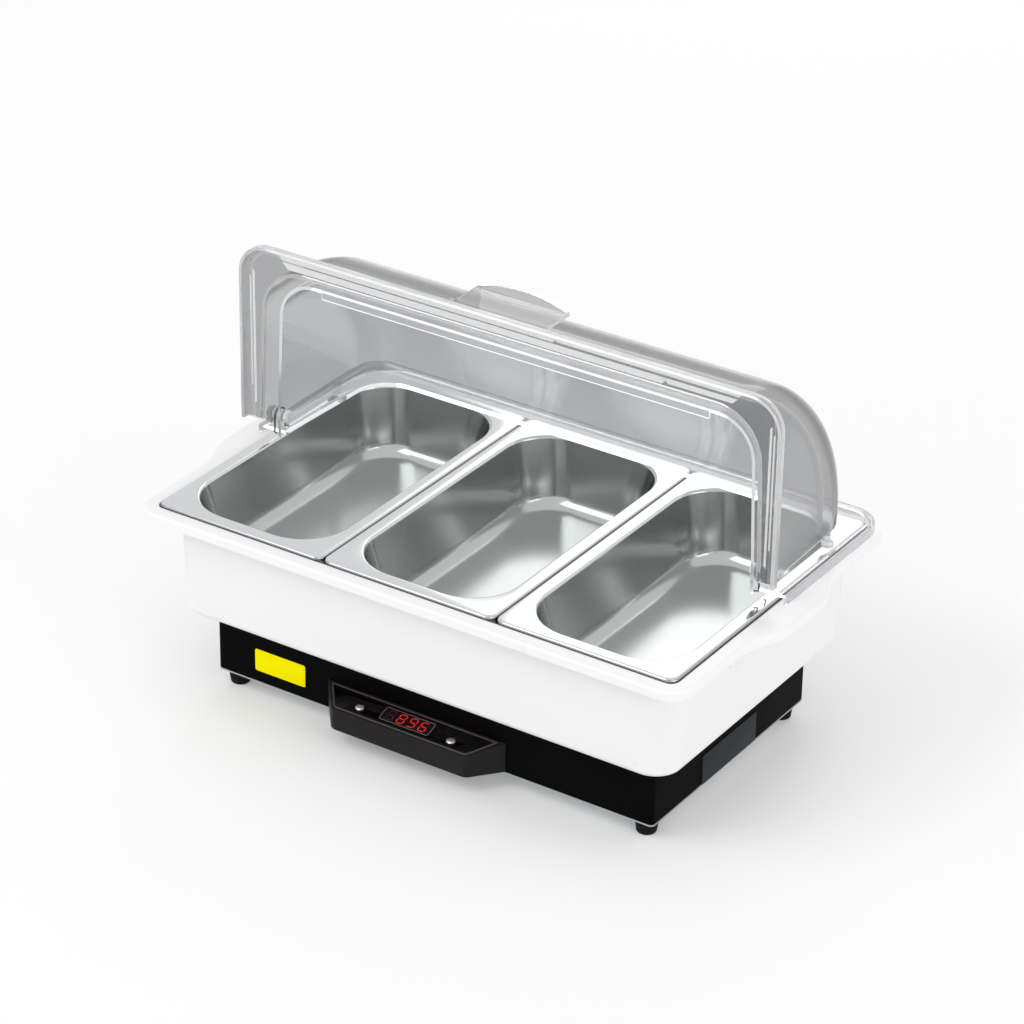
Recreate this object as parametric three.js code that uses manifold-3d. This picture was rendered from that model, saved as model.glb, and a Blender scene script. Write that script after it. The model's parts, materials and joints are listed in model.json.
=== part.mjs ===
// Electric buffet warmer: three food pans in a white water tub on a black heating base, under a clear
// roll-top cover. Millimetres. X runs to the right, Y to the back, Z up, and the feet stand on Z = 0,
// under the middle of the part.
// The front half of the cover is drawn rolled back, the way it stands open for serving.
import * as THREE from 'three';
import { mergeVertices } from 'three/addons/utils/BufferGeometryUtils.js';
import Module from 'manifold-3d';

const wasm = await Module();
wasm.setup();

// Gaps, overruns and curve steps
const clearance = 0.3;
const overrun = 4;
const mergeTolerance = 1e-4;
const cornerSteps = 5;
const filletSteps = 3;
const circleSteps = 18;
const smallCircleSteps = 8;
const gripSteps = 8;
const domeSteps = 48;
const coverFilletSteps = 6;
const quarterTurn = Math.PI / 2;
const quarterTurnDegrees = 90;
const halfTurnDegrees = 180;

// Food pans, one third size, three side by side
const panCount = 3;
const panWidth = 176;
const panLength = 325;
const panDepth = 65;
const panSheet = 1.2;
const panGap = 1;
const panRimWidth = 11;
const panBeadDrop = 8;
const panBeadRadius = 2.5;
const panEdgeRadius = 3;
const panOuterRadius = 9;
const panOpeningRadius = 46;
const panDraft = 11.5;
const panFloorRadius = 15;

// White water tub
const tubHeight = 107.7;
const tubSheet = 2;
const tubWallInset = 7;
const tubDraft = 3.5;
const tubCornerRadius = 28;
const tubFloorRadius = 9;
const tubStepGap = 1;
const tubRimWidth = 14;
const tubRimRadius = 22;
const tubRimEdgeRadius = 2.5;
const tubApron = 9.5;
const tubPanProud = 2.5;
const gripReach = 16;
const gripHalfLength = 80;
const gripFlatHalfLength = 24;

// Heating base
const baseWidth = 458;
const baseDepth = 254;
const baseHeight = 62.5;
const baseSheet = 1.5;
const baseCornerRadius = 4;
const bottomSheet = 1.5;
const blockSize = 16;
const blockHeight = 18;
const ventCount = 7;
const ventLength = 60;
const ventWidth = 4;
const ventPitch = 12;
const ventPlaceX = 120;
const ventPlaceY = -60;

// Feet and their screws
const footHeight = 15;
const footTopRadius = 11;
const footBottomRadius = 9;
const footInset = 14;
const footBoreRadius = 5;
const footBoreDepth = 6;
const screwShankRadius = 2;
const screwHeadRadius = 3.8;
const screwHeadHeight = 2.5;
const screwLength = 18;
const bottomScrewPlaceX = 110;
const bottomScrewLength = 16;

// Heating plate with what is clamped under it
const plateWidth = 400;
const plateDepth = 190;
const plateRadius = 10;
const plateFlangeWidth = 9;
const plateFlangeSheet = 2;
const elementRadius = 3.25;
const elementRunCount = 4;
const elementRunPitch = 44;
const elementRunLength = 290;
const elementTail = 24;
const elementSteps = 64;
const elementSides = 6;
const clampCount = 2;
const clampPitch = 160;
const clampWidth = 12;
const clampSheet = 1.5;
const clampReach = 12;
const probeRadius = 2.8;
const probeLength = 40;
const cutoutRadius = 8;
const cutoutHeight = 5;
const cutoutPlaceX = -50;
const shieldDepth = 15;
const shieldSheet = 1;
const shieldMargin = 16;
const shieldNotchWidth = 16;

// Power board in the base
const boardSheet = 1.6;
const powerBoardWidth = 96;
const powerBoardDepth = 64;
const powerBoardPlaceX = -60;
const powerBoardPlaceY = -70;
const standoffRadius = 3;
const standoffHeight = 6;
const standoffInset = 6;
const relayWidth = 19;
const relayDepth = 15;
const relayHeight = 15;
const transformerWidth = 30;
const transformerDepth = 25;
const transformerHeight = 20;
const terminalWidth = 40;
const terminalDepth = 11;
const terminalHeight = 12;
const componentMargin = 7;

// Power inlet in the back wall
const inletPlaceX = 150;
const inletFlangeWidth = 48;
const inletFlangeHeight = 26;
const inletFlangeSheet = 2.5;
const inletBodyWidth = 28;
const inletBodyHeight = 21;
const inletBodyDepth = 20;
const inletWall = 2;
const inletScrewPitch = 40;
const inletPinCount = 3;
const inletPinPitch = 7;
const inletPinRise = 4;
const inletPinWidth = 2;
const inletPinHeight = 4;
const inletPinLength = 13;
const inletScrewLength = 8;

// Leads inside the base
const leadRadius = 1.6;
const mainsLeadRadius = 3;
const leadSides = 8;
const leadSteps = 16;
const leadDrop = 9;
const elementLeadReach = 38;
const elementLeadBend = 14;
const terminalLeadShare = 0.35;
const terminalElementShare = 0.15;

// Control box on the front wall
const boxPlaceX = -13;
const boxBackWidth = 188;
const boxFrontWidth = 141;
const boxReach = 28.5;
const boxBottom = 1.8;
const boxBackHeight = 29.4;
const boxFrontHeight = 19.8;
const boxWall = 2.5;
const boxCornerRadius = 9;
const boxRibWidth = 4;
const boxRibPlaceX = 46;
const panelMargin = 4.2;
const panelLedge = 1.4;
const lensSheet = 1.6;
const bezelInset = 1.2;
const bezelHeight = 1;
const windowMargin = 10;

// Display, control board, buttons and their switches
const displayWidth = 52;
const displayDepth = 15;
const displayPlaceY = -14;
const controlBoardWidth = 124;
const controlBoardDepth = 19;
const controlBoardDrop = 9.5;
const buttonSpacing = 96;
const buttonPlaceY = -17;
const buttonRadius = 4.5;
const buttonProud = 0.5;
const buttonDome = 1.3;
const buttonCollar = 1;
const buttonCollarSheet = 0.7;
const buttonStemRadius = 1.5;
const buttonTravel = 0.8;
const buttonStop = 0.2;
const switchWidth = 6;
const switchHeight = 4;
const ribbonWidth = 24;
const ribbonSheet = 0.8;
const ribbonGrip = 4;
const ribbonLap = 1.2;

// Plates stuck on the base
const stickerWidth = 55;
const stickerHeight = 22;
const stickerPlaceX = -159.5;
const stickerPlaceZ = 24;
const labelWidth = 90;
const labelHeight = 29;
const labelPlaceY = -3;
const labelPlaceZ = 16;
const labelSheet = 0.4;

// Roll-top cover. Its radii and widths are measured from the hinge axis and the middle of the part
const coverSheet = 3;
const hingeRise = 23;
const coverHalfWidth = 276;
const coverHalfDepth = 174.5;
const coverFlangeDrop = 16;
const coverCornerRadius = 30;
const coverTaper = 0.04;
const coverSplitGap = 1;
const frontRadiusInset = 19.5;
const frontHalfWidth = 260;
const frontFillet = 46;
const frontOverlap = 10;
const rearRadiusInset = 33.5;
const rearHalfWidth = 248;
const rearFillet = 38;
const rearOverlap = 8;
const openTurn = -quarterTurn;

// Pull on the front edge of the cover
const pullWidth = 102;
const pullHeight = 37;
const pullSheet = 3;
const pullLipReach = 9;
const pullLipSteps = 12;

// Hinge pins, sleeves and caps, and the bumpers that the open half rests on
const pinRadius = 3;
const pinHeadRadius = 5.5;
const pinHeadHeight = 4;
const sleeveRadius = 5.5;
const capRadius = 6.5;
const capHeight = 4;
const hingeEarRadius = 10;
const bumperRadius = 5.5;
const bumperHeight = 3.5;
const bumperNeckRadius = 2;
const bumperNeckHead = 1.2;
const bumperOut = 4;
const bumperDrop = 13;

// Heights and outlines worked out from the sizes above
const panSetWidth = panCount * panWidth + (panCount - 1) * panGap;
const tubBottomZ = footHeight + baseHeight + clearance;
const tubRimZ = tubBottomZ + tubHeight;
const panRimZ = tubRimZ + tubPanProud;
const hingeZ = panRimZ + hingeRise;
const frontRadius = coverHalfDepth - frontRadiusInset;
const rearRadius = coverHalfDepth - rearRadiusInset;
const bumperPlace = frontRadius - frontFillet - bumperDrop;
const plateTopDrop = baseSheet + clearance;
const plateBottomZ = baseHeight - plateTopDrop - plateFlangeSheet;
const slopeAngle = Math.atan2(boxBackHeight - boxFrontHeight, boxReach);
const slopeLength = Math.hypot(boxReach, boxBackHeight - boxFrontHeight);

// Finishes
const finishes = {
  steel: { color: 0xc9ccd0, roughness: 0.25, metalness: 1 },
  white: { color: 0xf7f7f5, roughness: 0.25, metalness: 0 },
  black: { color: 0x0b0b0c, roughness: 0.55, metalness: 0.1 },
  rubber: { color: 0x141414, roughness: 0.85, metalness: 0 },
  clear: { color: 0xa9abad, roughness: 0.05, metalness: 0 },
  smoked: { color: 0x0a0809, roughness: 0.08, metalness: 0 },
  bronze: { color: 0x3a2f2c, roughness: 0.4, metalness: 0.3 },
  chrome: { color: 0xd5d7da, roughness: 0.12, metalness: 1 },
  aluminium: { color: 0xb4b7ba, roughness: 0.45, metalness: 1 },
  zinc: { color: 0xa3a6a8, roughness: 0.4, metalness: 1 },
  circuit: { color: 0x1d4a2c, roughness: 0.6, metalness: 0 },
  component: { color: 0x2a2c30, roughness: 0.5, metalness: 0 },
  grey: { color: 0x6b6e70, roughness: 0.5, metalness: 0 },
  yellow: { color: 0xf6e600, roughness: 0.4, metalness: 0 },
  copper: { color: 0x8d5a3a, roughness: 0.5, metalness: 0.6 },
};

// Solids and meshes

// Turns a closed geometry into a solid that can be joined and cut.
function toSolid(geometry) {
  const bare = geometry.clone();
  bare.deleteAttribute('normal');
  bare.deleteAttribute('uv');
  const merged = mergeVertices(bare, mergeTolerance);
  const source = merged.index.array;
  const kept = [];
  for (let i = 0; i < source.length; i += 3) {
    const [a, b, c] = [source[i], source[i + 1], source[i + 2]];
    if (a !== b && b !== c && c !== a) kept.push(a, b, c);
  }
  const vertProperties = merged.attributes.position.array;
  return new wasm.Manifold(new wasm.Mesh({ numProp: 3, vertProperties, triVerts: new Uint32Array(kept) }));
}

// Turns a solid back into a geometry that a mesh can hold.
function toGeometry(solid) {
  const { vertProperties, triVerts } = solid.getMesh();
  const geometry = new THREE.BufferGeometry();
  geometry.setAttribute('position', new THREE.BufferAttribute(vertProperties, 3));
  geometry.setIndex(new THREE.BufferAttribute(triVerts, 1));
  geometry.computeVertexNormals();
  return geometry;
}

// Names a sub-part and gives it its finish.
function piece(name, shape, finish) {
  const geometry = shape.isBufferGeometry ? shape : toGeometry(shape);
  const mesh = new THREE.Mesh(geometry, new THREE.MeshStandardMaterial(finishes[finish]));
  mesh.name = name;
  return mesh;
}

// A block between two corners.
function block(x0, x1, y0, y1, z0, z1) {
  const box = new THREE.BoxGeometry(x1 - x0, y1 - y0, z1 - z0);
  return toSolid(box.translate((x0 + x1) / 2, (y0 + y1) / 2, (z0 + z1) / 2));
}

// A block centred on a place in plan, between two heights.
function pad(x, y, width, depth, z0, z1) {
  return block(x - width / 2, x + width / 2, y - depth / 2, y + depth / 2, z0, z1);
}

// An upright rod, or a cone when the top radius differs.
function rod(x, y, radius, z0, z1, topRadius = radius, steps = circleSteps) {
  const cone = new THREE.CylinderGeometry(topRadius, radius, z1 - z0, steps);
  return toSolid(cone.rotateX(quarterTurn).translate(x, y, (z0 + z1) / 2));
}

// A thin upright rod, with fewer sides.
function smallRod(x, y, radius, z0, z1) {
  return rod(x, y, radius, z0, z1, radius, smallCircleSteps);
}

// A rod along X between two places.
function crossRod(x0, x1, y, z, radius, steps = circleSteps) {
  const bar = new THREE.CylinderGeometry(radius, radius, x1 - x0, steps);
  return toSolid(bar.rotateZ(quarterTurn).translate((x0 + x1) / 2, y, z));
}

// An outline in plan pushed up between two heights.
function prism(points, z0, z1) {
  const solid = new THREE.ExtrudeGeometry(new THREE.Shape(points), { depth: z1 - z0, bevelEnabled: false });
  return toSolid(solid.translate(0, 0, z0));
}

// Points of a rectangle with round corners, counter-clockwise from the right-hand side.
function roundedRectangle(halfX, halfY, radius, steps = cornerSteps) {
  const r = Math.min(radius, halfX, halfY);
  const points = [];
  for (let corner = 0; corner < 4; corner += 1) {
    const signX = corner === 0 || corner === 3 ? 1 : -1;
    const signY = corner < 2 ? 1 : -1;
    for (let step = 0; step <= steps; step += 1) {
      const angle = quarterTurn * (corner + step / steps);
      const x = signX * (halfX - r) + r * Math.cos(angle);
      const y = signY * (halfY - r) + r * Math.sin(angle);
      points.push(new THREE.Vector2(x, y));
    }
  }
  return points;
}

// Skins a stack of level rings, each with its own height, and closes both ends.
function loft(rings) {
  const count = rings[0].points.length;
  const positions = [];
  const indices = [];
  for (const { points, z } of rings) {
    for (const point of points) positions.push(point.x, point.y, z);
  }
  for (let ring = 0; ring + 1 < rings.length; ring += 1) {
    for (let i = 0; i < count; i += 1) {
      const next = (i + 1) % count;
      const [a, b] = [ring * count + i, ring * count + next];
      const [c, d] = [a + count, b + count];
      indices.push(a, b, d, a, d, c);
    }
  }
  const firstCentre = positions.length / 3;
  const last = rings.length - 1;
  positions.push(0, 0, rings[0].z, 0, 0, rings[last].z);
  for (let i = 0; i < count; i += 1) {
    const next = (i + 1) % count;
    indices.push(firstCentre, next, i);
    indices.push(firstCentre + 1, last * count + i, last * count + next);
  }
  const geometry = new THREE.BufferGeometry();
  geometry.setAttribute('position', new THREE.Float32BufferAttribute(positions, 3));
  geometry.setIndex(indices);
  geometry.computeVertexNormals();
  return geometry;
}

// Points of one round bend in a tray's section. Insets run inward from the rim's outer edge.
function bend(centreInset, centreZ, radius, from, to, cornerAt) {
  const points = [];
  for (let step = 0; step <= filletSteps; step += 1) {
    const angle = from + ((to - from) * step) / filletSteps;
    const inset = centreInset - radius * Math.cos(angle);
    points.push({ inset, z: centreZ + radius * Math.sin(angle), corner: cornerAt(inset) });
  }
  return points;
}

// Food pan. Z = 0 is the top face of its rim.
function panSection() {
  const wallTop = panRimWidth + panEdgeRadius;
  const wallFoot = wallTop + panDraft;
  const floorInset = wallFoot + panFloorRadius;
  const bendZ = panSheet - panDepth + panFloorRadius;
  const footCorner = panOpeningRadius - panDraft / 2;
  const floorCorner = (inset) => footCorner + wallFoot - inset;
  const edgeCorner = (inset) => panOpeningRadius + wallTop - inset;
  const beadCorner = () => panOuterRadius;
  return [
    ...bend(floorInset, bendZ, panFloorRadius + panSheet, -quarterTurn, 0, floorCorner),
    ...bend(panRimWidth, -panEdgeRadius, panEdgeRadius - panSheet, Math.PI, quarterTurn, edgeCorner),
    { inset: panSheet, z: -panSheet, corner: panOuterRadius - panSheet },
    { inset: panSheet, z: -panBeadDrop, corner: panOuterRadius - panSheet },
    { inset: 0, z: -panBeadDrop, corner: panOuterRadius },
    ...bend(panBeadRadius, -panBeadRadius, panBeadRadius, 0, quarterTurn, beadCorner),
    ...bend(panRimWidth, -panEdgeRadius, panEdgeRadius, quarterTurn, Math.PI, edgeCorner),
    ...bend(floorInset, bendZ, panFloorRadius, 0, -quarterTurn, floorCorner),
  ];
}

function foodPan() {
  const rings = panSection().map(({ inset, z, corner }) => ({
    points: roundedRectangle(panWidth / 2 - inset, panLength / 2 - inset, corner),
    z,
  }));
  return loft(rings);
}

// Water tub. Z = 0 is its underside.

// How far the rim swells out along a short side, to be gripped.
function gripSwell(y) {
  const past = Math.max(Math.abs(y) - gripFlatHalfLength, 0) / (gripHalfLength - gripFlatHalfLength);
  return gripReach * 0.5 * (1 + Math.cos(Math.PI * Math.min(past, 1)));
}

// One level ring of the tub, with points along both short sides for the grips.
function tubRing(halfX, halfY, corner, swells) {
  const corners = roundedRectangle(halfX, halfY, corner);
  const half = corners.length / 2;
  const side = [];
  for (let step = 0; step <= gripSteps; step += 1) {
    const y = gripHalfLength * ((2 * step) / gripSteps - 1);
    side.push(new THREE.Vector2(halfX + (swells ? gripSwell(y) : 0), y));
  }
  const left = side.map((point) => new THREE.Vector2(-point.x, -point.y));
  return [...corners.slice(0, half), ...left, ...corners.slice(half), ...side];
}

function tubSection() {
  const wallTop = tubRimWidth + tubStepGap + tubWallInset;
  const wallFoot = wallTop + tubDraft;
  const floorInset = wallFoot + tubFloorRadius;
  const ledgeZ = tubHeight + tubPanProud - panBeadDrop - clearance;
  const apronZ = tubHeight - tubApron;
  const floorCorner = (inset) => tubCornerRadius + wallFoot - inset;
  const rimCorner = (inset) => tubRimRadius - inset;
  const level = (inset, z, corner) => ({ inset, z, corner });
  const rim = [
    level(wallTop, ledgeZ - tubSheet, tubCornerRadius),
    level(tubRimWidth - tubSheet, ledgeZ - tubSheet, rimCorner(tubRimWidth - tubSheet)),
    level(tubRimWidth - tubSheet, tubHeight - tubSheet, rimCorner(tubRimWidth - tubSheet)),
    { ...level(tubSheet, tubHeight - tubSheet, rimCorner(tubSheet)), swells: true },
    { ...level(tubSheet, apronZ, rimCorner(tubSheet)), swells: true },
    { ...level(0, apronZ, tubRimRadius), swells: true },
  ];
  const edgeRadius = tubRimEdgeRadius;
  const edge = bend(edgeRadius, tubHeight - edgeRadius, edgeRadius, 0, quarterTurn, rimCorner);
  return [
    ...bend(floorInset, tubFloorRadius, tubFloorRadius, -quarterTurn, 0, floorCorner),
    ...rim,
    ...edge.map((point) => ({ ...point, swells: true })),
    level(tubRimWidth, tubHeight, rimCorner(tubRimWidth)),
    level(tubRimWidth, ledgeZ, rimCorner(tubRimWidth)),
    level(wallTop + tubSheet, ledgeZ, tubCornerRadius - tubSheet),
    ...bend(floorInset, tubFloorRadius, tubFloorRadius - tubSheet, 0, -quarterTurn, floorCorner),
  ];
}

function tub() {
  const halfX = panSetWidth / 2 + tubStepGap + tubRimWidth;
  const halfY = panLength / 2 + tubStepGap + tubRimWidth;
  const rings = tubSection().map(({ inset, z, corner, swells = false }) => ({
    points: tubRing(halfX - inset, halfY - inset, corner, swells),
    z,
  }));
  return loft(rings);
}

// Heating base. Z = 0 is the underside of its bottom plate.

// Places of the four feet, and of the screws between them on the long sides.
function footPlaces() {
  const x = baseWidth / 2 - footInset;
  const y = baseDepth / 2 - footInset;
  return {
    front_left: [-x, -y],
    front_right: [x, -y],
    rear_left: [-x, y],
    rear_right: [x, y],
  };
}

function bottomScrewPlaces() {
  const y = baseDepth / 2 - footInset;
  const x = bottomScrewPlaceX;
  return {
    front_left: [-x, -y],
    front_right: [x, -y],
    rear_left: [-x, y],
    rear_right: [x, y],
  };
}

function inletHeight() {
  return baseHeight / 2;
}

function baseShell() {
  const floorZ = bottomSheet + clearance;
  const outer = prism(roundedRectangle(baseWidth / 2, baseDepth / 2, baseCornerRadius), floorZ, baseHeight);
  const innerOutline = roundedRectangle(
    baseWidth / 2 - baseSheet,
    baseDepth / 2 - baseSheet,
    baseCornerRadius - baseSheet,
  );
  const opening = roundedRectangle(plateWidth / 2, plateDepth / 2, plateRadius);
  let shell = outer.subtract(prism(innerOutline, floorZ - overrun, baseHeight - baseSheet));
  shell = shell.subtract(prism(opening, baseHeight - baseSheet - overrun, baseHeight + overrun));
  const places = [...Object.values(footPlaces()), ...Object.values(bottomScrewPlaces())];
  for (const [x, y] of places) {
    const wallY = Math.sign(y) * (baseDepth / 2 - baseSheet);
    const depth = footInset - baseSheet + blockSize / 2;
    const middleY = wallY - (Math.sign(y) * depth) / 2;
    shell = shell.add(pad(x, middleY, blockSize, depth, floorZ, floorZ + blockHeight));
  }
  for (const [x, y] of places) {
    const boreRadius = screwShankRadius + clearance;
    shell = shell.subtract(smallRod(x, y, boreRadius, floorZ - overrun, floorZ + screwLength));
  }
  const windowWidth = boxFrontWidth - 2 * windowMargin;
  const front = -baseDepth / 2;
  shell = shell.subtract(
    block(
      boxPlaceX - windowWidth / 2,
      boxPlaceX + windowWidth / 2,
      front - overrun,
      front + baseSheet + overrun,
      boxBottom + blockHeight,
      boxBottom + boxBackHeight - boxWall - clearance,
    ),
  );
  const back = baseDepth / 2;
  const halfBody = inletBodyWidth / 2 + clearance;
  const halfBodyHeight = inletBodyHeight / 2 + clearance;
  const inletZ = inletHeight();
  shell = shell.subtract(
    block(
      inletPlaceX - halfBody,
      inletPlaceX + halfBody,
      back - baseSheet - overrun,
      back + overrun,
      inletZ - halfBodyHeight,
      inletZ + halfBodyHeight,
    ),
  );
  for (const side of [-1, 1]) {
    const hole = new THREE.CylinderGeometry(
      screwShankRadius + clearance,
      screwShankRadius + clearance,
      baseSheet + 2 * overrun,
      smallCircleSteps,
    );
    const x = inletPlaceX + (side * inletScrewPitch) / 2;
    shell = shell.subtract(toSolid(hole.translate(x, back, inletZ)));
  }
  return shell;
}

function bottomPlate() {
  const outline = roundedRectangle(baseWidth / 2, baseDepth / 2, baseCornerRadius);
  let plate = prism(outline, 0, bottomSheet);
  for (const [x, y] of standoffPlaces()) {
    plate = plate.add(smallRod(x, y, standoffRadius, bottomSheet / 2, bottomSheet + standoffHeight));
  }
  for (const [x, y] of [...Object.values(footPlaces()), ...Object.values(bottomScrewPlaces())]) {
    plate = plate.subtract(smallRod(x, y, screwShankRadius + clearance, -overrun, bottomSheet + overrun));
  }
  for (let vent = 0; vent < ventCount; vent += 1) {
    const x = ventPlaceX + (vent - (ventCount - 1) / 2) * ventPitch;
    plate = plate.subtract(pad(x, ventPlaceY, ventWidth, ventLength, -overrun, bottomSheet + overrun));
  }
  return plate;
}

// A rubber foot, wider at the top, with a bore that hides its screw's head.
function foot(x, y) {
  const top = footHeight - clearance;
  return rod(x, y, footBottomRadius, 0, top, footTopRadius)
    .subtract(smallRod(x, y, footBoreRadius, -overrun, footBoreDepth))
    .subtract(smallRod(x, y, screwShankRadius + clearance, 0, top + overrun));
}

// A pan-head screw pointing up, with its head's upper face at Z = 0.
function screwUp(length) {
  const head = smallRod(0, 0, screwHeadRadius, -screwHeadHeight, 0);
  return head.add(smallRod(0, 0, screwShankRadius, -screwHeadHeight / 2, length));
}

// Heating plate: a pad that fills the opening, on a flange that stays under the sheet.
function heatingPlate() {
  const top = roundedRectangle(plateWidth / 2 - clearance, plateDepth / 2 - clearance, plateRadius);
  const flange = roundedRectangle(
    plateWidth / 2 + plateFlangeWidth,
    plateDepth / 2 + plateFlangeWidth,
    plateRadius + plateFlangeWidth,
  );
  const flangeTop = plateBottomZ + plateFlangeSheet;
  return prism(flange, plateBottomZ, flangeTop).add(prism(top, plateBottomZ, baseHeight));
}

// Middle line of the heating element: straight runs along X, joined by half circles. Both ends are on
// the right.
class ElementPath extends THREE.Curve {
  getPoint(share) {
    const bendRadius = elementRunPitch / 2;
    const bendLength = Math.PI * bendRadius;
    const total = elementRunCount * elementRunLength + (elementRunCount - 1) * bendLength + 2 * elementTail;
    let left = share * total - elementTail;
    const end = elementRunLength / 2;
    const firstY = (-(elementRunCount - 1) / 2) * elementRunPitch;
    if (left < 0) return new THREE.Vector3(end - left, firstY, 0);
    for (let run = 0; run < elementRunCount; run += 1) {
      const heading = run % 2 === 0 ? -1 : 1;
      const y = firstY + run * elementRunPitch;
      const last = run === elementRunCount - 1;
      if (left <= elementRunLength || last) return new THREE.Vector3(heading * (left - end), y, 0);
      left -= elementRunLength;
      if (left <= bendLength) {
        const angle = left / bendRadius;
        const x = heading * (end + bendRadius * Math.sin(angle));
        return new THREE.Vector3(x, y + bendRadius * (1 - Math.cos(angle)), 0);
      }
      left -= bendLength;
    }
    return new THREE.Vector3(end, -firstY, 0);
  }
}

// A round tube along a path.
function tube(path, radius, steps, sides) {
  const section = [];
  for (let side = 0; side < sides; side += 1) {
    const angle = (2 * Math.PI * side) / sides;
    section.push(new THREE.Vector2(radius * Math.cos(angle), radius * Math.sin(angle)));
  }
  const shape = new THREE.Shape(section);
  return new THREE.ExtrudeGeometry(shape, { steps, extrudePath: path, bevelEnabled: false });
}

function elementZ() {
  return plateBottomZ - clearance - elementRadius;
}

// A bar under the element's runs, with a leg up to the plate at each end.
function elementClamp(x) {
  const reach = ((elementRunCount - 1) / 2) * elementRunPitch + elementRadius + clampReach;
  const barTop = elementZ() - elementRadius - clearance;
  const barBottom = barTop - clampSheet;
  const legTop = plateBottomZ - clearance;
  const bar = pad(x, 0, clampWidth, 2 * reach, barBottom, barTop);
  const frontLeg = pad(x, clampSheet / 2 - reach, clampWidth, clampSheet, barBottom, legTop);
  const rearLeg = pad(x, reach - clampSheet / 2, clampWidth, clampSheet, barBottom, legTop);
  return bar.add(frontLeg).add(rearLeg);
}

// An open tray that hangs from the plate and keeps the heat off the electronics.
function heatShield() {
  const halfX = plateWidth / 2 - shieldMargin / 2;
  const halfY = plateDepth / 2 + plateFlangeWidth - shieldSheet;
  const top = plateBottomZ - clearance;
  const bottom = top - shieldDepth;
  const outer = prism(roundedRectangle(halfX, halfY, plateRadius), bottom, top);
  const inner = roundedRectangle(halfX - shieldSheet, halfY - shieldSheet, plateRadius - shieldSheet);
  const notchY = ((elementRunCount - 1) / 2) * elementRunPitch;
  let tray = outer.subtract(prism(inner, bottom + shieldSheet, top + overrun));
  for (const side of [-1, 1]) {
    const [notchBottom, notchTop] = [bottom + shieldSheet, top + overrun];
    tray = tray.subtract(pad(halfX, side * notchY, 2 * overrun, shieldNotchWidth, notchBottom, notchTop));
  }
  return tray;
}

function temperatureProbe() {
  const half = probeLength / 2;
  return crossRod(-half, half, 0, plateBottomZ - clearance - probeRadius, probeRadius, smallCircleSteps);
}

function thermalCutout() {
  const top = plateBottomZ - clearance;
  return rod(cutoutPlaceX, 0, cutoutRadius, top - cutoutHeight, top);
}

// Power board on its standoffs, with a relay, a transformer and a terminal block

function standoffPlaces() {
  const x = powerBoardWidth / 2 - standoffInset;
  const y = powerBoardDepth / 2 - standoffInset;
  return [
    [powerBoardPlaceX - x, powerBoardPlaceY - y],
    [powerBoardPlaceX + x, powerBoardPlaceY - y],
    [powerBoardPlaceX - x, powerBoardPlaceY + y],
    [powerBoardPlaceX + x, powerBoardPlaceY + y],
  ];
}

function boardTopZ() {
  return bottomSheet + standoffHeight + clearance + boardSheet;
}

function powerBoard() {
  const top = boardTopZ();
  return pad(powerBoardPlaceX, powerBoardPlaceY, powerBoardWidth, powerBoardDepth, top - boardSheet, top);
}

// Where each component stands on the power board, in plan.
function componentPlaces() {
  const left = powerBoardPlaceX - powerBoardWidth / 2 + componentMargin;
  const right = powerBoardPlaceX + powerBoardWidth / 2 - componentMargin;
  const front = powerBoardPlaceY - powerBoardDepth / 2 + componentMargin;
  const back = powerBoardPlaceY + powerBoardDepth / 2 - componentMargin;
  return {
    relay: [left + relayWidth / 2, back - relayDepth / 2],
    transformer: [left + transformerWidth / 2, front + transformerDepth / 2],
    terminals: [right - terminalWidth / 2, back - terminalDepth / 2],
  };
}

function component(place, width, depth, height) {
  const bottom = boardTopZ() + clearance;
  return pad(place[0], place[1], width, depth, bottom, bottom + height);
}

// Power inlet: a flanged socket that is open to the back, with three pins standing in it.
function powerInlet() {
  const back = baseDepth / 2;
  const z = inletHeight();
  const halfWidth = inletBodyWidth / 2;
  const halfHeight = inletBodyHeight / 2;
  const outside = back + clearance + inletFlangeSheet;
  const flange = block(
    inletPlaceX - inletFlangeWidth / 2,
    inletPlaceX + inletFlangeWidth / 2,
    back + clearance,
    outside,
    z - inletFlangeHeight / 2,
    z + inletFlangeHeight / 2,
  );
  const front = outside - inletBodyDepth;
  let socket = flange.add(
    block(inletPlaceX - halfWidth, inletPlaceX + halfWidth, front, outside, z - halfHeight, z + halfHeight),
  );
  socket = socket.subtract(
    block(
      inletPlaceX - halfWidth + inletWall,
      inletPlaceX + halfWidth - inletWall,
      front + inletWall,
      outside + overrun,
      z - halfHeight + inletWall,
      z + halfHeight - inletWall,
    ),
  );
  for (const side of [-1, 1]) {
    const x = inletPlaceX + (side * inletScrewPitch) / 2;
    const hole = new THREE.CylinderGeometry(
      screwShankRadius + clearance,
      screwShankRadius + clearance,
      inletFlangeSheet + 2 * overrun,
      smallCircleSteps,
    );
    socket = socket.subtract(toSolid(hole.translate(x, back + clearance, z)));
  }
  return socket;
}

// The middle pin stands higher than the outer two. Each is rooted a clearance off the socket's floor.
function inletPin(index) {
  const middle = (inletPinCount - 1) / 2;
  const x = inletPlaceX + (index - middle) * inletPinPitch;
  const z = inletHeight() + (index === middle ? inletPinRise : -inletPinRise / 2);
  const root = baseDepth / 2 + clearance + inletFlangeSheet - inletBodyDepth + inletWall + clearance;
  return block(
    x - inletPinWidth / 2,
    x + inletPinWidth / 2,
    root,
    root + inletPinLength,
    z - inletPinHeight / 2,
    z + inletPinHeight / 2,
  );
}

// A round lead through a few places, given as [x, y, z].
function lead(places, radius) {
  const path = new THREE.CatmullRomCurve3(places.map((place) => new THREE.Vector3(...place)));
  return tube(path, radius, leadSteps, leadSides);
}

// Control box on the front wall. Y = 0 is its back face, Z = 0 its underside.

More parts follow.
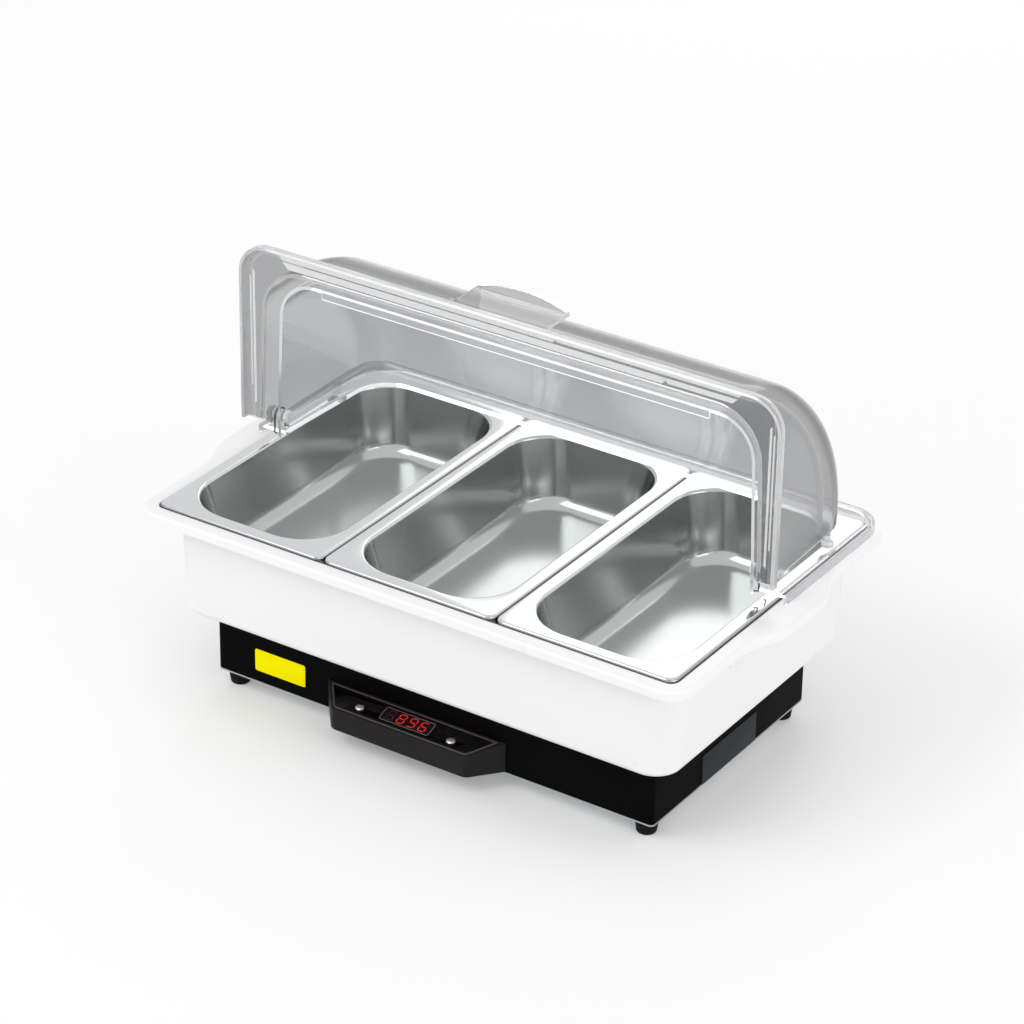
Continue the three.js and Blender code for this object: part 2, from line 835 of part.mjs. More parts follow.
// Rounds chosen corners of an outline. Each point is [x, y, radius].
function roundCorners(points, steps = cornerSteps) {
  const outline = [];
  points.forEach(([x, y, radius], index) => {
    const corner = new THREE.Vector2(x, y);
    if (!radius) {
      outline.push(corner);
      return;
    }
    const before = points[(index + points.length - 1) % points.length];
    const after = points[(index + 1) % points.length];
    const toBefore = new THREE.Vector2(before[0] - x, before[1] - y).normalize();
    const toAfter = new THREE.Vector2(after[0] - x, after[1] - y).normalize();
    const halfAngle = Math.acos(toBefore.dot(toAfter)) / 2;
    const middle = toBefore.clone().add(toAfter).normalize();
    const centre = corner.clone().addScaledVector(middle, radius / Math.sin(halfAngle));
    const start = corner.clone().addScaledVector(toBefore, radius / Math.tan(halfAngle)).sub(centre);
    const end = corner.clone().addScaledVector(toAfter, radius / Math.tan(halfAngle)).sub(centre);
    const turn = Math.atan2(start.cross(end), start.dot(end));
    const origin = new THREE.Vector2();
    for (let step = 0; step <= steps; step += 1) {
      outline.push(start.clone().rotateAround(origin, (turn * step) / steps).add(centre));
    }
  });
  return outline;
}

// Outline of the box in plan, or of its sloping face, drawn in from the edge by an inset.
function boxOutline(inset, reach, backInset = inset) {
  const spread = (boxBackWidth - boxFrontWidth) / 2 / reach;
  const halfBack = boxBackWidth / 2 - inset * Math.hypot(1, spread);
  const front = inset - reach;
  const radius = boxCornerRadius - inset;
  return roundCorners([
    [halfBack - backInset * spread, -backInset, 0],
    [-halfBack + backInset * spread, -backInset, 0],
    [-halfBack - front * spread, front, radius],
    [halfBack + front * spread, front, radius],
  ]);
}

// A side outline, given as [y, z] points, pushed across between two places along X.
function acrossPrism(points, x0, x1) {
  const shape = new THREE.Shape(points.map(([y, z]) => new THREE.Vector2(y, z)));
  const solid = new THREE.ExtrudeGeometry(shape, { depth: x1 - x0, bevelEnabled: false });
  const turn = new THREE.Matrix4().makeBasis(
    new THREE.Vector3(0, 1, 0),
    new THREE.Vector3(0, 0, 1),
    new THREE.Vector3(1, 0, 0),
  );
  return toSolid(solid.applyMatrix4(turn).translate(x0, 0, 0));
}

// Height of a line that runs below the sloping face by a drop square to it.
function slopeZ(y, drop) {
  return boxBackHeight + y * Math.tan(slopeAngle) - drop / Math.cos(slopeAngle);
}

// A point of the panel's own frame, given as [y, z], in the frame of the box.
function fromPanel(y, z) {
  const [sine, cosine] = [Math.sin(slopeAngle), Math.cos(slopeAngle)];
  return [y * cosine - z * sine, boxBackHeight + y * sine + z * cosine];
}

// A solid built in the panel's frame, put where it stands on the box.
function tilted(solid) {
  return solid.rotate([THREE.MathUtils.radToDeg(slopeAngle), 0, 0]).translate([0, 0, boxBackHeight]);
}

function controlBoxShell() {
  const half = boxBackWidth / 2;
  const side = [
    [0, 0],
    [-boxReach, 0],
    [-boxReach, boxFrontHeight],
    [0, boxBackHeight],
  ];
  const cavityDrop = boxWall + lensSheet;
  const back = overrun;
  const front = -boxReach - overrun;
  const room = [
    [back, boxWall],
    [front, boxWall],
    [front, slopeZ(front, cavityDrop)],
    [back, slopeZ(back, cavityDrop)],
  ];
  const outer = prism(boxOutline(0, boxReach), 0, boxBackHeight).intersect(acrossPrism(side, -half, half));
  const cavityOutline = boxOutline(boxWall, boxReach, -overrun);
  const cavity = prism(cavityOutline, 0, boxBackHeight + overrun).intersect(acrossPrism(room, -half, half));
  const recess = prism(boxOutline(panelMargin, slopeLength), -lensSheet - clearance, overrun);
  const opening = prism(boxOutline(panelMargin + panelLedge, slopeLength), -cavityDrop - overrun, overrun);
  let shell = outer.subtract(cavity).subtract(tilted(recess)).subtract(tilted(opening));
  const ribDrop = controlBoardDrop + boardSheet + clearance;
  const ribFront = boxWall / 2 - boxReach;
  const rib = [
    [-boxWall, boxWall / 2],
    [ribFront, boxWall / 2],
    [ribFront, slopeZ(ribFront, ribDrop)],
    [-boxWall, slopeZ(-boxWall, ribDrop)],
  ];
  for (const place of [-boxRibPlaceX, boxRibPlaceX]) {
    shell = shell.add(acrossPrism(rib, place - boxRibWidth / 2, place + boxRibWidth / 2));
  }
  return shell;
}

// Control panel. Z = 0 is the sloping face of the box, Y = 0 its back edge.

function controlBezel() {
  const top = clearance + bezelHeight;
  const outer = prism(boxOutline(panelMargin - bezelInset, slopeLength), clearance, top);
  return outer.subtract(prism(boxOutline(panelMargin, slopeLength), 0, top + overrun));
}

function controlLens() {
  let lens = prism(boxOutline(panelMargin + clearance, slopeLength), -lensSheet, 0);
  for (const side of [-1, 1]) {
    const x = (side * buttonSpacing) / 2;
    lens = lens.subtract(rod(x, buttonPlaceY, buttonRadius + clearance, -lensSheet - overrun, overrun));
  }
  return lens;
}

function controlBoard() {
  const top = -controlBoardDrop;
  return pad(0, displayPlaceY, controlBoardWidth, controlBoardDepth, top - boardSheet, top);
}

function displayModule() {
  const bottom = clearance - controlBoardDrop;
  return pad(0, displayPlaceY, displayWidth, displayDepth, bottom, -lensSheet - clearance);
}

// A button: a domed cap, a collar that stays under the lens, and a stem over its switch.
function button() {
  const collarTop = -lensSheet - clearance;
  const collarBottom = collarTop - buttonCollarSheet;
  const stemBottom = clearance - controlBoardDrop + switchHeight + buttonTravel + buttonStop;
  const profile = [
    [0, stemBottom],
    [buttonStemRadius, stemBottom],
    [buttonStemRadius, collarBottom],
    [buttonRadius + buttonCollar, collarBottom],
    [buttonRadius + buttonCollar, collarTop],
    [buttonRadius, collarTop],
    [buttonRadius, buttonProud],
  ];
  for (let step = 1; step <= filletSteps; step += 1) {
    const angle = (quarterTurn * step) / filletSteps;
    profile.push([buttonRadius * Math.cos(angle), buttonProud + buttonDome * Math.sin(angle)]);
  }
  const points = profile.map(([radius, z]) => new THREE.Vector2(radius, z));
  return toSolid(new THREE.LatheGeometry(points, circleSteps).rotateX(quarterTurn));
}

function tactSwitch() {
  const bottom = clearance - controlBoardDrop;
  return pad(0, 0, switchWidth, switchWidth, bottom, bottom + switchHeight);
}

// The ribbon leaves the top of the control board, passes the base's front wall and drops to the power
// board.
function ribbonCable() {
  const boxY = -baseDepth / 2 - clearance;
  const ribbonZ = clearance + ribbonSheet / 2;
  const toBase = ([y, z]) => new THREE.Vector2(y + boxY, z + boxBottom);
  const boardBack = displayPlaceY + controlBoardDepth / 2;
  const start = toBase(fromPanel(boardBack - ribbonLap, ribbonZ - controlBoardDrop));
  const leave = toBase(fromPanel(boardBack, ribbonZ - controlBoardDrop));
  const insideY = powerBoardPlaceY - powerBoardDepth / 2;
  const path = [
    start,
    leave,
    new THREE.Vector2(boxY + baseSheet + ribbonGrip, leave.y + ribbonSheet / 2),
    new THREE.Vector2((boxY + insideY) / 2 + ribbonGrip, (leave.y + boardTopZ()) / 2),
    new THREE.Vector2(insideY, boardTopZ() + ribbonZ + ribbonSheet),
    new THREE.Vector2(insideY + ribbonGrip, boardTopZ() + ribbonZ),
  ];
  const [upper, lower] = [[], []];
  path.forEach((point, index) => {
    const before = path[Math.max(index - 1, 0)];
    const after = path[Math.min(index + 1, path.length - 1)];
    const along = after.clone().sub(before).normalize();
    upper.push([point.x - (along.y * ribbonSheet) / 2, point.y + (along.x * ribbonSheet) / 2]);
    lower.unshift([point.x + (along.y * ribbonSheet) / 2, point.y - (along.x * ribbonSheet) / 2]);
  });
  return acrossPrism([...upper, ...lower], boxPlaceX - ribbonWidth / 2, boxPlaceX + ribbonWidth / 2);
}

// Cover. The hinge axis is the X axis, and both halves are modelled closed.

// Points [x, r] of a cover's end, from the hinge axis out to the middle of its crown.
function coverProfile(radius, halfWidth, fillet) {
  const centreR = radius - fillet;
  const slant = Math.hypot(1, coverTaper);
  const centreX = halfWidth - coverTaper * centreR - fillet * slant;
  const startAngle = Math.atan(coverTaper);
  const points = [[halfWidth, 0]];
  for (let step = 0; step <= coverFilletSteps; step += 1) {
    const angle = startAngle + ((quarterTurn - startAngle) * step) / coverFilletSteps;
    points.push([centreX + fillet * Math.cos(angle), centreR + fillet * Math.sin(angle)]);
  }
  return points;
}

// The solid inside a cover's face: round about the axis, with straight sides below it.
function coverSolid(radius, halfWidth, fillet, bottom) {
  const right = coverProfile(radius, halfWidth, fillet);
  const left = right.map(([x, r]) => [-x, r]);
  const crown = [...left, ...right.slice().reverse()];
  const lathe = new THREE.LatheGeometry(
    crown.map(([x, r]) => new THREE.Vector2(r, x)),
    domeSteps,
  );
  const round = toSolid(lathe.rotateZ(-quarterTurn));
  const back = [...right, ...left.slice().reverse()];
  const front = back.map(([x, r]) => [-x, -r]);
  const outline = [...back, ...front.slice(1, -1)].map(([x, y]) => new THREE.Vector2(x, y));
  return round.add(prism(outline, bottom, 0)).intersect(coverRoom(bottom));
}

// A block that takes in a whole cover above a level.
function coverRoom(bottom) {
  const [halfX, halfY] = [coverHalfWidth, coverHalfDepth];
  return block(-halfX, halfX, -halfY, halfY, bottom, halfY + overrun);
}

// One whole cover before it is split: its dome, the flange round it and the lip under the flange.
function wholeCover(radius, halfWidth, fillet) {
  const flangeTop = -coverFlangeDrop;
  const flangeBottom = flangeTop - coverSheet;
  const lipBottom = clearance - hingeRise - tubPanProud;
  const outline = roundedRectangle(coverHalfWidth, coverHalfDepth, coverCornerRadius);
  const lipInner = roundedRectangle(
    coverHalfWidth - coverSheet,
    coverHalfDepth - coverSheet,
    coverCornerRadius - coverSheet,
  );
  const below = lipBottom - overrun;
  const hollow = coverSolid(radius - coverSheet, halfWidth - coverSheet, fillet - coverSheet, below);
  const lip = prism(outline, lipBottom, flangeTop).subtract(prism(lipInner, below, flangeBottom));
  return {
    dome: coverSolid(radius, halfWidth, fillet, flangeBottom).subtract(hollow),
    skirt: lip.subtract(hollow),
  };
}

// Axis place of a hinge ear's outer face, a distance out from the axis.
function frontWallX(distance) {
  return frontHalfWidth - coverTaper * distance;
}

// The pull: a tab that stands on the front edge, with a crescent lip along its top.
function pull() {
  const top = pullHeight - coverFlangeDrop;
  const half = pullWidth / 2;
  const bottom = -coverFlangeDrop - coverSheet;
  const tab = block(-half, half, -coverHalfDepth, pullSheet - coverHalfDepth, bottom, top);
  const edge = [];
  for (let step = 0; step <= pullLipSteps; step += 1) {
    const share = (2 * step) / pullLipSteps - 1;
    const reach = pullLipReach * (1 - share * share);
    edge.push(new THREE.Vector2(half * share, pullSheet / 2 - coverHalfDepth - reach));
  }
  return tab.add(prism(edge, top - pullSheet, top));
}

function bumperX(side) {
  return side * (frontWallX(bumperPlace) + bumperOut);
}

// A small tab outside the front half's end wall that holds a bumper.
function bumperEar(side) {
  const x = bumperX(side);
  const y1 = coverFlangeDrop - 2 * clearance - bumperHeight;
  const y0 = y1 - coverSheet;
  const neckHole = new THREE.CylinderGeometry(
    bumperNeckRadius + clearance,
    bumperNeckRadius + clearance,
    coverSheet + 2 * overrun,
    smallCircleSteps,
  );
  const disc = new THREE.CylinderGeometry(bumperRadius, bumperRadius, coverSheet, circleSteps);
  const wallX = side * (frontWallX(bumperPlace) - coverSheet / 2);
  const web = block(
    Math.min(wallX, x),
    Math.max(wallX, x),
    y0,
    y1,
    bumperPlace - bumperRadius,
    bumperPlace + bumperRadius,
  );
  const round = toSolid(disc.translate(x, (y0 + y1) / 2, bumperPlace));
  return { ear: web.add(round), hole: toSolid(neckHole.translate(x, (y0 + y1) / 2, bumperPlace)) };
}

function frontCover() {
  const { dome, skirt } = wholeCover(frontRadius, frontHalfWidth, frontFillet);
  const far = coverHalfWidth + overrun;
  const tall = coverHalfDepth + overrun;
  const cut = -coverSplitGap / 2;
  const kept = block(-far, far, -tall, cut, -tall, tall)
    .add(block(-far, far, -tall, frontOverlap, 0, tall))
    .add(crossRod(-far, far, 0, 0, hingeEarRadius));
  const skirtKept = block(-far, far, -tall, cut, -tall, tall);
  let half = dome.intersect(kept).add(skirt.intersect(skirtKept)).add(pull());
  for (const side of [-1, 1]) {
    const { ear, hole } = bumperEar(side);
    half = half.add(ear).subtract(hole);
  }
  return half.subtract(crossRod(-far, far, 0, 0, pinRadius + clearance));
}

function rearCover() {
  const { dome, skirt } = wholeCover(rearRadius, rearHalfWidth, rearFillet);
  const far = coverHalfWidth + overrun;
  const tall = coverHalfDepth + overrun;
  const half = dome
    .intersect(block(-far, far, -rearOverlap, tall, -tall, tall))
    .add(skirt.intersect(block(-far, far, coverSplitGap / 2, tall, -tall, tall)));
  return half.subtract(crossRod(-far, far, 0, 0, pinRadius + clearance));
}

// Hinge pin, from its head inside the rear half to its end in the cap.
function hingePin(side) {
  const headEnd = rearHalfWidth - coverSheet - clearance;
  const headStart = headEnd - pinHeadHeight;
  const end = frontHalfWidth + clearance + capHeight / 2;
  const head = crossRod(headStart, headEnd, 0, 0, pinHeadRadius);
  const pin = head.add(crossRod(headStart + pinHeadHeight / 2, end, 0, 0, pinRadius));
  return pin.rotate([0, 0, side > 0 ? 0 : halfTurnDegrees]);
}

// Sleeve on the pin that keeps the two end walls apart.
function hingeSleeve(side) {
  const start = rearHalfWidth + clearance;
  const end = frontHalfWidth - coverSheet - clearance;
  const tubeSolid = crossRod(start, end, 0, 0, sleeveRadius);
  const bore = crossRod(start - overrun, end + overrun, 0, 0, pinRadius + clearance);
  return tubeSolid.subtract(bore).rotate([0, 0, side > 0 ? 0 : halfTurnDegrees]);
}

// Cap over the pin's outer end.
function hingeCap(side) {
  const start = frontHalfWidth + clearance;
  const boreEnd = start + capHeight / 2 + clearance;
  const bore = crossRod(start - overrun, boreEnd, 0, 0, pinRadius + clearance);
  const cap = crossRod(start, start + capHeight, 0, 0, capRadius).subtract(bore);
  return cap.rotate([0, 0, side > 0 ? 0 : halfTurnDegrees]);
}

// Rubber bumper in its ear: a disc, a neck through the ear and a head that holds it.
function bumper(side) {
  const earY1 = coverFlangeDrop - 2 * clearance - bumperHeight;
  const earY0 = earY1 - coverSheet;
  const tip = coverFlangeDrop - clearance;
  const headY = earY0 - clearance;
  const profile = [
    [0, headY - bumperNeckHead],
    [bumperNeckRadius, headY - bumperNeckHead],
    [bumperNeckRadius + bumperNeckHead, headY],
    [bumperNeckRadius, headY],
    [bumperNeckRadius, earY1 + clearance],
    [bumperRadius, earY1 + clearance],
    [bumperRadius, tip - clearance],
    [bumperRadius - clearance, tip],
    [0, tip],
  ];
  const points = profile.map(([radius, y]) => new THREE.Vector2(radius, y));
  const lathe = new THREE.LatheGeometry(points, smallCircleSteps);
  return toSolid(lathe.translate(bumperX(side), 0, bumperPlace));
}

// Assembly

function at(object, x, y, z) {
  object.position.set(x, y, z);
  return object;
}

function named(name, ...children) {
  const node = new THREE.Group();
  node.name = name;
  for (const child of children) node.add(child);
  return node;
}

function electronics() {
  const places = componentPlaces();
  const back = baseDepth / 2;
  const inletZ = inletHeight();
  const inletEnd = back + clearance + inletFlangeSheet - inletBodyDepth - clearance;
  const [terminalX, terminalY] = places.terminals;
  const inner = named('electronics');
  const relay = component(places.relay, relayWidth, relayDepth, relayHeight);
  const transformer = component(places.transformer, transformerWidth, transformerDepth, transformerHeight);
  const terminals = component(places.terminals, terminalWidth, terminalDepth, terminalHeight);
  inner.add(
    piece('power_board', powerBoard(), 'circuit'),
    piece('relay', relay, 'component'),
    piece('transformer', transformer, 'component'),
    piece('terminal_block', terminals, 'grey'),
    piece('power_inlet', powerInlet(), 'black'),
    piece('ribbon_cable', ribbonCable(), 'grey'),
  );
  for (let pin = 0; pin < inletPinCount; pin += 1) {
    inner.add(piece(`inlet_pin_${pin + 1}`, inletPin(pin), 'zinc'));
  }
  for (const side of [-1, 1]) {
    const screw = screwUp(inletScrewLength).rotate([quarterTurnDegrees, 0, 0]);
    const x = inletPlaceX + (side * inletScrewPitch) / 2;
    const y = back + clearance + inletFlangeSheet + clearance;
    inner.add(at(piece(`inlet_screw_${side < 0 ? 'left' : 'right'}`, screw, 'zinc'), x, y, inletZ));
  }
  // Each lead comes in level over the terminals and turns down onto one of them.
  const terminalTop = boardTopZ() + clearance + terminalHeight + clearance;
  const onto = (share) => {
    const x = terminalX + share * terminalWidth;
    return [
      [x, terminalY, terminalTop + leadDrop],
      [x, terminalY, terminalTop],
    ];
  };
  const leave = inletEnd - leadDrop;
  const mains = [
    [inletPlaceX, inletEnd, inletZ],
    [inletPlaceX, leave, inletZ],
    ...onto(-terminalLeadShare),
  ];
  inner.add(piece('mains_lead', lead(mains, mainsLeadRadius), 'component'));
  const elementY = ((elementRunCount - 1) / 2) * elementRunPitch;
  const elementX = elementRunLength / 2 + elementTail + clearance;
  const outX = elementX + elementLeadReach;
  for (const [name, side] of Object.entries({ front: -1, rear: 1 })) {
    const places = [
      [elementX, side * elementY, elementZ()],
      [outX - elementLeadBend, side * elementY, elementZ() - clearance],
      [outX, side * elementY, (elementZ() + shieldClearZ()) / 2],
      [outX - elementLeadBend, side * elementY, shieldClearZ()],
      ...onto(-side * terminalElementShare),
    ];
    inner.add(piece(`element_lead_${name}`, lead(places, leadRadius), 'white'));
  }
  return inner;
}

// A level below the heat shield where leads pass.
function shieldClearZ() {
  return plateBottomZ - clearance - shieldDepth - 2 * leadRadius - mainsLeadRadius;
}

function heatingParts() {
  const inner = named('heating_parts');
  const element = tube(new ElementPath(), elementRadius, elementSteps, elementSides);
  inner.add(
    piece('heating_plate', heatingPlate(), 'aluminium'),
    at(piece('heating_element', element, 'grey'), 0, 0, elementZ()),
    piece('temperature_probe', temperatureProbe(), 'zinc'),
    piece('thermal_cutout', thermalCutout(), 'component'),
    piece('heat_shield', heatShield(), 'zinc'),
  );
  for (let clamp = 0; clamp < clampCount; clamp += 1) {
    const x = (clamp - (clampCount - 1) / 2) * clampPitch;
    inner.add(piece(`element_clamp_${clamp + 1}`, elementClamp(x), 'zinc'));
  }
  return inner;
}

function controls() {
  const panel = named('control_panel');
  panel.add(
    piece('control_bezel', controlBezel(), 'bronze'),
    piece('control_lens', controlLens(), 'smoked'),
    piece('display_module', displayModule(), 'component'),
    piece('control_board', controlBoard(), 'circuit'),
  );
  for (const side of [-1, 1]) {
    const name = side < 0 ? 'left' : 'right';
    const x = (side * buttonSpacing) / 2;
    panel.add(at(piece(`button_${name}`, button(), 'chrome'), x, buttonPlaceY, 0));
    panel.add(at(piece(`switch_${name}`, tactSwitch(), 'component'), x, buttonPlaceY, 0));
  }
  at(panel, 0, 0, boxBackHeight).rotation.x = slopeAngle;
  const box = named('control_box', piece('control_box_shell', controlBoxShell(), 'black'), panel);
  return at(box, boxPlaceX, -baseDepth / 2 - clearance, boxBottom);
}

function heatingBase() {
  const base = named('heating_base');
  base.add(
    piece('base_shell', baseShell(), 'black'),
    piece('bottom_plate', bottomPlate(), 'zinc'),
    heatingParts(),
    electronics(),
    controls(),
  );
  for (const [name, [x, y]] of Object.entries(footPlaces())) {
    base.add(at(piece(`foot_${name}`, foot(0, 0), 'rubber'), x, y, -footHeight));
    const headZ = footBoreDepth - footHeight - clearance;
    base.add(at(piece(`foot_screw_${name}`, screwUp(screwLength), 'zinc'), x, y, headZ));
  }
  for (const [name, [x, y]] of Object.entries(bottomScrewPlaces())) {
    base.add(at(piece(`bottom_screw_${name}`, screwUp(bottomScrewLength), 'zinc'), x, y, -clearance));
  }
  const front = -baseDepth / 2 - clearance;
  const stickerZ = stickerHeight / 2;
  const labelZ = labelHeight / 2;
  const sticker = block(-stickerWidth / 2, stickerWidth / 2, -labelSheet, 0, -stickerZ, stickerZ);
  const label = block(0, labelSheet, -labelWidth / 2, labelWidth / 2, -labelZ, labelZ);
  base.add(at(piece('blank_sticker', sticker, 'yellow'), stickerPlaceX, front, stickerPlaceZ));
  base.add(at(piece('blank_label', label, 'grey'), baseWidth / 2 + clearance, labelPlaceY, labelPlaceZ));
  return at(base, 0, 0, footHeight);
}

function cover() {
  const rear = named('rear_half', piece('rear_cover', rearCover(), 'clear'));
  const front = named('front_half', piece('front_cover', frontCover(), 'clear'));
  for (const side of [-1, 1]) {
    const name = side < 0 ? 'left' : 'right';
    rear.add(piece(`hinge_pin_${name}`, hingePin(side), 'chrome'));
    rear.add(piece(`hinge_sleeve_${name}`, hingeSleeve(side), 'clear'));
    rear.add(piece(`hinge_cap_${name}`, hingeCap(side), 'clear'));
    front.add(piece(`bumper_${name}`, bumper(side), 'rubber'));
  }
  front.rotation.x = openTurn;
  return at(named('cover', rear, front), 0, 0, hingeZ);
}

function pans() {
  const set = named('food_pans');
  ['left', 'middle', 'right'].forEach((name, index) => {
    const x = (index - (panCount - 1) / 2) * (panWidth + panGap);
    set.add(at(piece(`pan_${name}`, foodPan(), 'steel'), x, 0, panRimZ));
  });
  return set;
}

const group = named(
  'buffet_warmer',
  heatingBase(),
  at(piece('water_tub', tub(), 'white'), 0, 0, tubBottomZ),
  pans(),
  cover(),
);

export default group;
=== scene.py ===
"""Dresses the electric buffet warmer: three food pans in a white water tub under a clear cover.

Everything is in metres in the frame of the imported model. Sizes in the classes are in millimetres.
"""

import json
import logging
import math
from dataclasses import dataclass
from enum import Enum
from typing import Callable, Iterable, Sequence

import bmesh
import bpy
from mathutils import Matrix, Vector


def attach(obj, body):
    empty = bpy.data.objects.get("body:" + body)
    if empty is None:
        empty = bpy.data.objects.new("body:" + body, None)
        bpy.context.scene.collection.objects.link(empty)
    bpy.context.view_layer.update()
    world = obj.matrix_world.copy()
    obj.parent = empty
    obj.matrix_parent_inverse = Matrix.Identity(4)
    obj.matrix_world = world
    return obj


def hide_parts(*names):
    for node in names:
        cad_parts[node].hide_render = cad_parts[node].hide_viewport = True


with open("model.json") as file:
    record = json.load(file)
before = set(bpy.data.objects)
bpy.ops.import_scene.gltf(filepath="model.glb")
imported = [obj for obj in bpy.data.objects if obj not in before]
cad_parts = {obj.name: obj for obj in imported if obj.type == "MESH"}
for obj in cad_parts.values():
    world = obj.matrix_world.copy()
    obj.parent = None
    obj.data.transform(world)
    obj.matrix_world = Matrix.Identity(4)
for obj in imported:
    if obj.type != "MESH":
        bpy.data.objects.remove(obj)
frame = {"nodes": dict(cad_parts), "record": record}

LOG = logging.getLogger("buffet_warmer")
MM = 0.001
MERGE = 1e-7
QUARTER = math.pi / 2
SMALL_TURN, TURN, LARGE_TURN = 24, 48, 96
FAR, FAR_X = 300.0, 320.0
NOISE_RANGE = (0.2, 0.8)

Obj = bpy.types.Object
Node = bpy.types.Node
Socket = bpy.types.NodeSocket
Tree = bpy.types.NodeTree
Colour = tuple[float, float, float]
Point = tuple[float, float, float]
Ring = list[Point]
Plan = list[tuple[float, float]]

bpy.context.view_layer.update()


class Body(Enum):
    """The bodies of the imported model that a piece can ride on."""

    BASE = "heater_base"
    TUB = "water_tub"
    PAN_LEFT = "pan_left"
    PAN_MIDDLE = "pan_middle"
    PAN_RIGHT = "pan_right"
    REAR_HALF = "rear_half"
    FRONT_HALF = "front_half"
    BUTTON_LEFT = "button_left"
    BUTTON_RIGHT = "button_right"


SIDES = ((-1, "left"), (1, "right"))


# Meshes


def arc(
    centre: Sequence[float], radii: Sequence[float], start: float, end: float, steps: int
) -> Plan:
    """Points on an arc of a circle or an ellipse.

    Args:
        centre: Its centre, in mm.
        radii: Its radius along each axis, in mm.
        start: First angle.
        end: Last angle.
        steps: Steps between them.

    Returns:
        The points in order.
    """
    (x, y), (along, up) = centre, radii
    angles = [start + (end - start) * step / steps for step in range(steps + 1)]
    return [(x + along * math.cos(a), y + up * math.sin(a)) for a in angles]


def rounded_rectangle(half_x: float, half_y: float, radius: float, steps: int) -> Plan:
    """Points of a rectangle with round corners, counter-clockwise from the right-hand side.

    Args:
        half_x: Half the width, in mm.
        half_y: Half the depth, in mm.
        radius: Corner radius, in mm.
        steps: Steps in each corner.

    Returns:
        The points in plan.
    """
    r = max(min(radius, half_x, half_y), 0.01)
    points = []
    for corner, (side_x, side_y) in enumerate(((1, 1), (-1, 1), (-1, -1), (1, -1))):
        x, y = side_x * (half_x - r), side_y * (half_y - r)
        for step in range(steps + 1):
            angle = QUARTER * (corner + step / steps)
            points.append((x + r * math.cos(angle), y + r * math.sin(angle)))
    return points


def mirrored(points: Plan) -> Plan:
    """Points of the left-hand side, in the reverse order."""
    return [(-x, y) for x, y in reversed(points)]


def at_height(plan: Plan, z: float) -> Ring:
    """Lays an outline at a height."""
    return [(x, y, z) for x, y in plan]


def linked(name: str, data: bpy.types.ID) -> Obj:
    """Makes an object and links it to the scene."""
    obj = bpy.data.objects.new(name, data)
    bpy.context.scene.collection.objects.link(obj)
    return obj


def used_up(obj: Obj) -> None:
    """Removes an object and its mesh."""
    mesh = obj.data
    bpy.data.objects.remove(obj)
    bpy.data.meshes.remove(mesh)


def point_object(
    name: str,
    points: Iterable[Sequence[float]],
    edges: Sequence[Sequence[int]] = (),
    faces: Sequence[Sequence[int]] = (),
) -> Obj:
    """Makes a mesh object of points in mm, with what joins them."""
    mesh = bpy.data.meshes.new(name)
    mesh.from_pydata([tuple(c * MM for c in point) for point in points], edges, faces)
    return linked(name, mesh)


def closed_up(obj: Obj) -> Obj:
    """Merges an object's double points and turns its faces outwards."""
    work = bmesh.new()
    work.from_mesh(obj.data)
    bmesh.ops.remove_doubles(work, verts=work.verts, dist=MERGE)
    bmesh.ops.recalc_face_normals(work, faces=work.faces)
    work.to_mesh(obj.data)
    work.free()
    return obj


def loft(name: str, rings: Sequence[Ring], closed: bool = False) -> Obj:
    """Skins a stack of rings that have the same number of points.

    Args:
        name: Name of the object.
        rings: The rings, each a list of points in mm.
        closed: Whether the last ring joins the first; otherwise both ends are capped.

    Returns:
        The skinned object.
    """
    count, total = len(rings[0]), len(rings)
    faces = []
    for index in range(total if closed else total - 1):
        low, high = index * count, (index + 1) % total * count
        for i in range(count):
            j = (i + 1) % count
            faces.append((low + i, low + j, high + j, high + i))
    if not closed:
        faces.append(tuple(reversed(range(count))))
        faces.append(tuple(range((total - 1) * count, total * count)))
    return closed_up(point_object(name, [p for ring in rings for p in ring], [], faces))


def revolve(name: str, profile: Plan, steps: int) -> Obj:
    """Turns a profile of points (place along X, distance from the axis) about the X axis."""
    turns = [2 * math.pi * step / steps for step in range(steps)]
    circle = [(-math.cos(turn), math.sin(turn)) for turn in turns]
    reach = [(x, max(r, 1e-4)) for x, r in profile]
    return loft(name, [[(x, r * y, r * z) for y, z in circle] for x, r in reach])


def extrude(name: str, plan: Plan, bottom: float, top: float) -> Obj:
    """Pushes an outline in plan up between two heights."""
    return loft(name, [at_height(plan, bottom), at_height(plan, top)])


def block(name: str, low: Sequence[float], high: Sequence[float]) -> Obj:
    """Makes a plain block between two corners, for cutting with."""
    plan = [(high[0], low[1]), (high[0], high[1]), (low[0], high[1]), (low[0], low[1])]
    return extrude(name, plan, low[2], high[2])


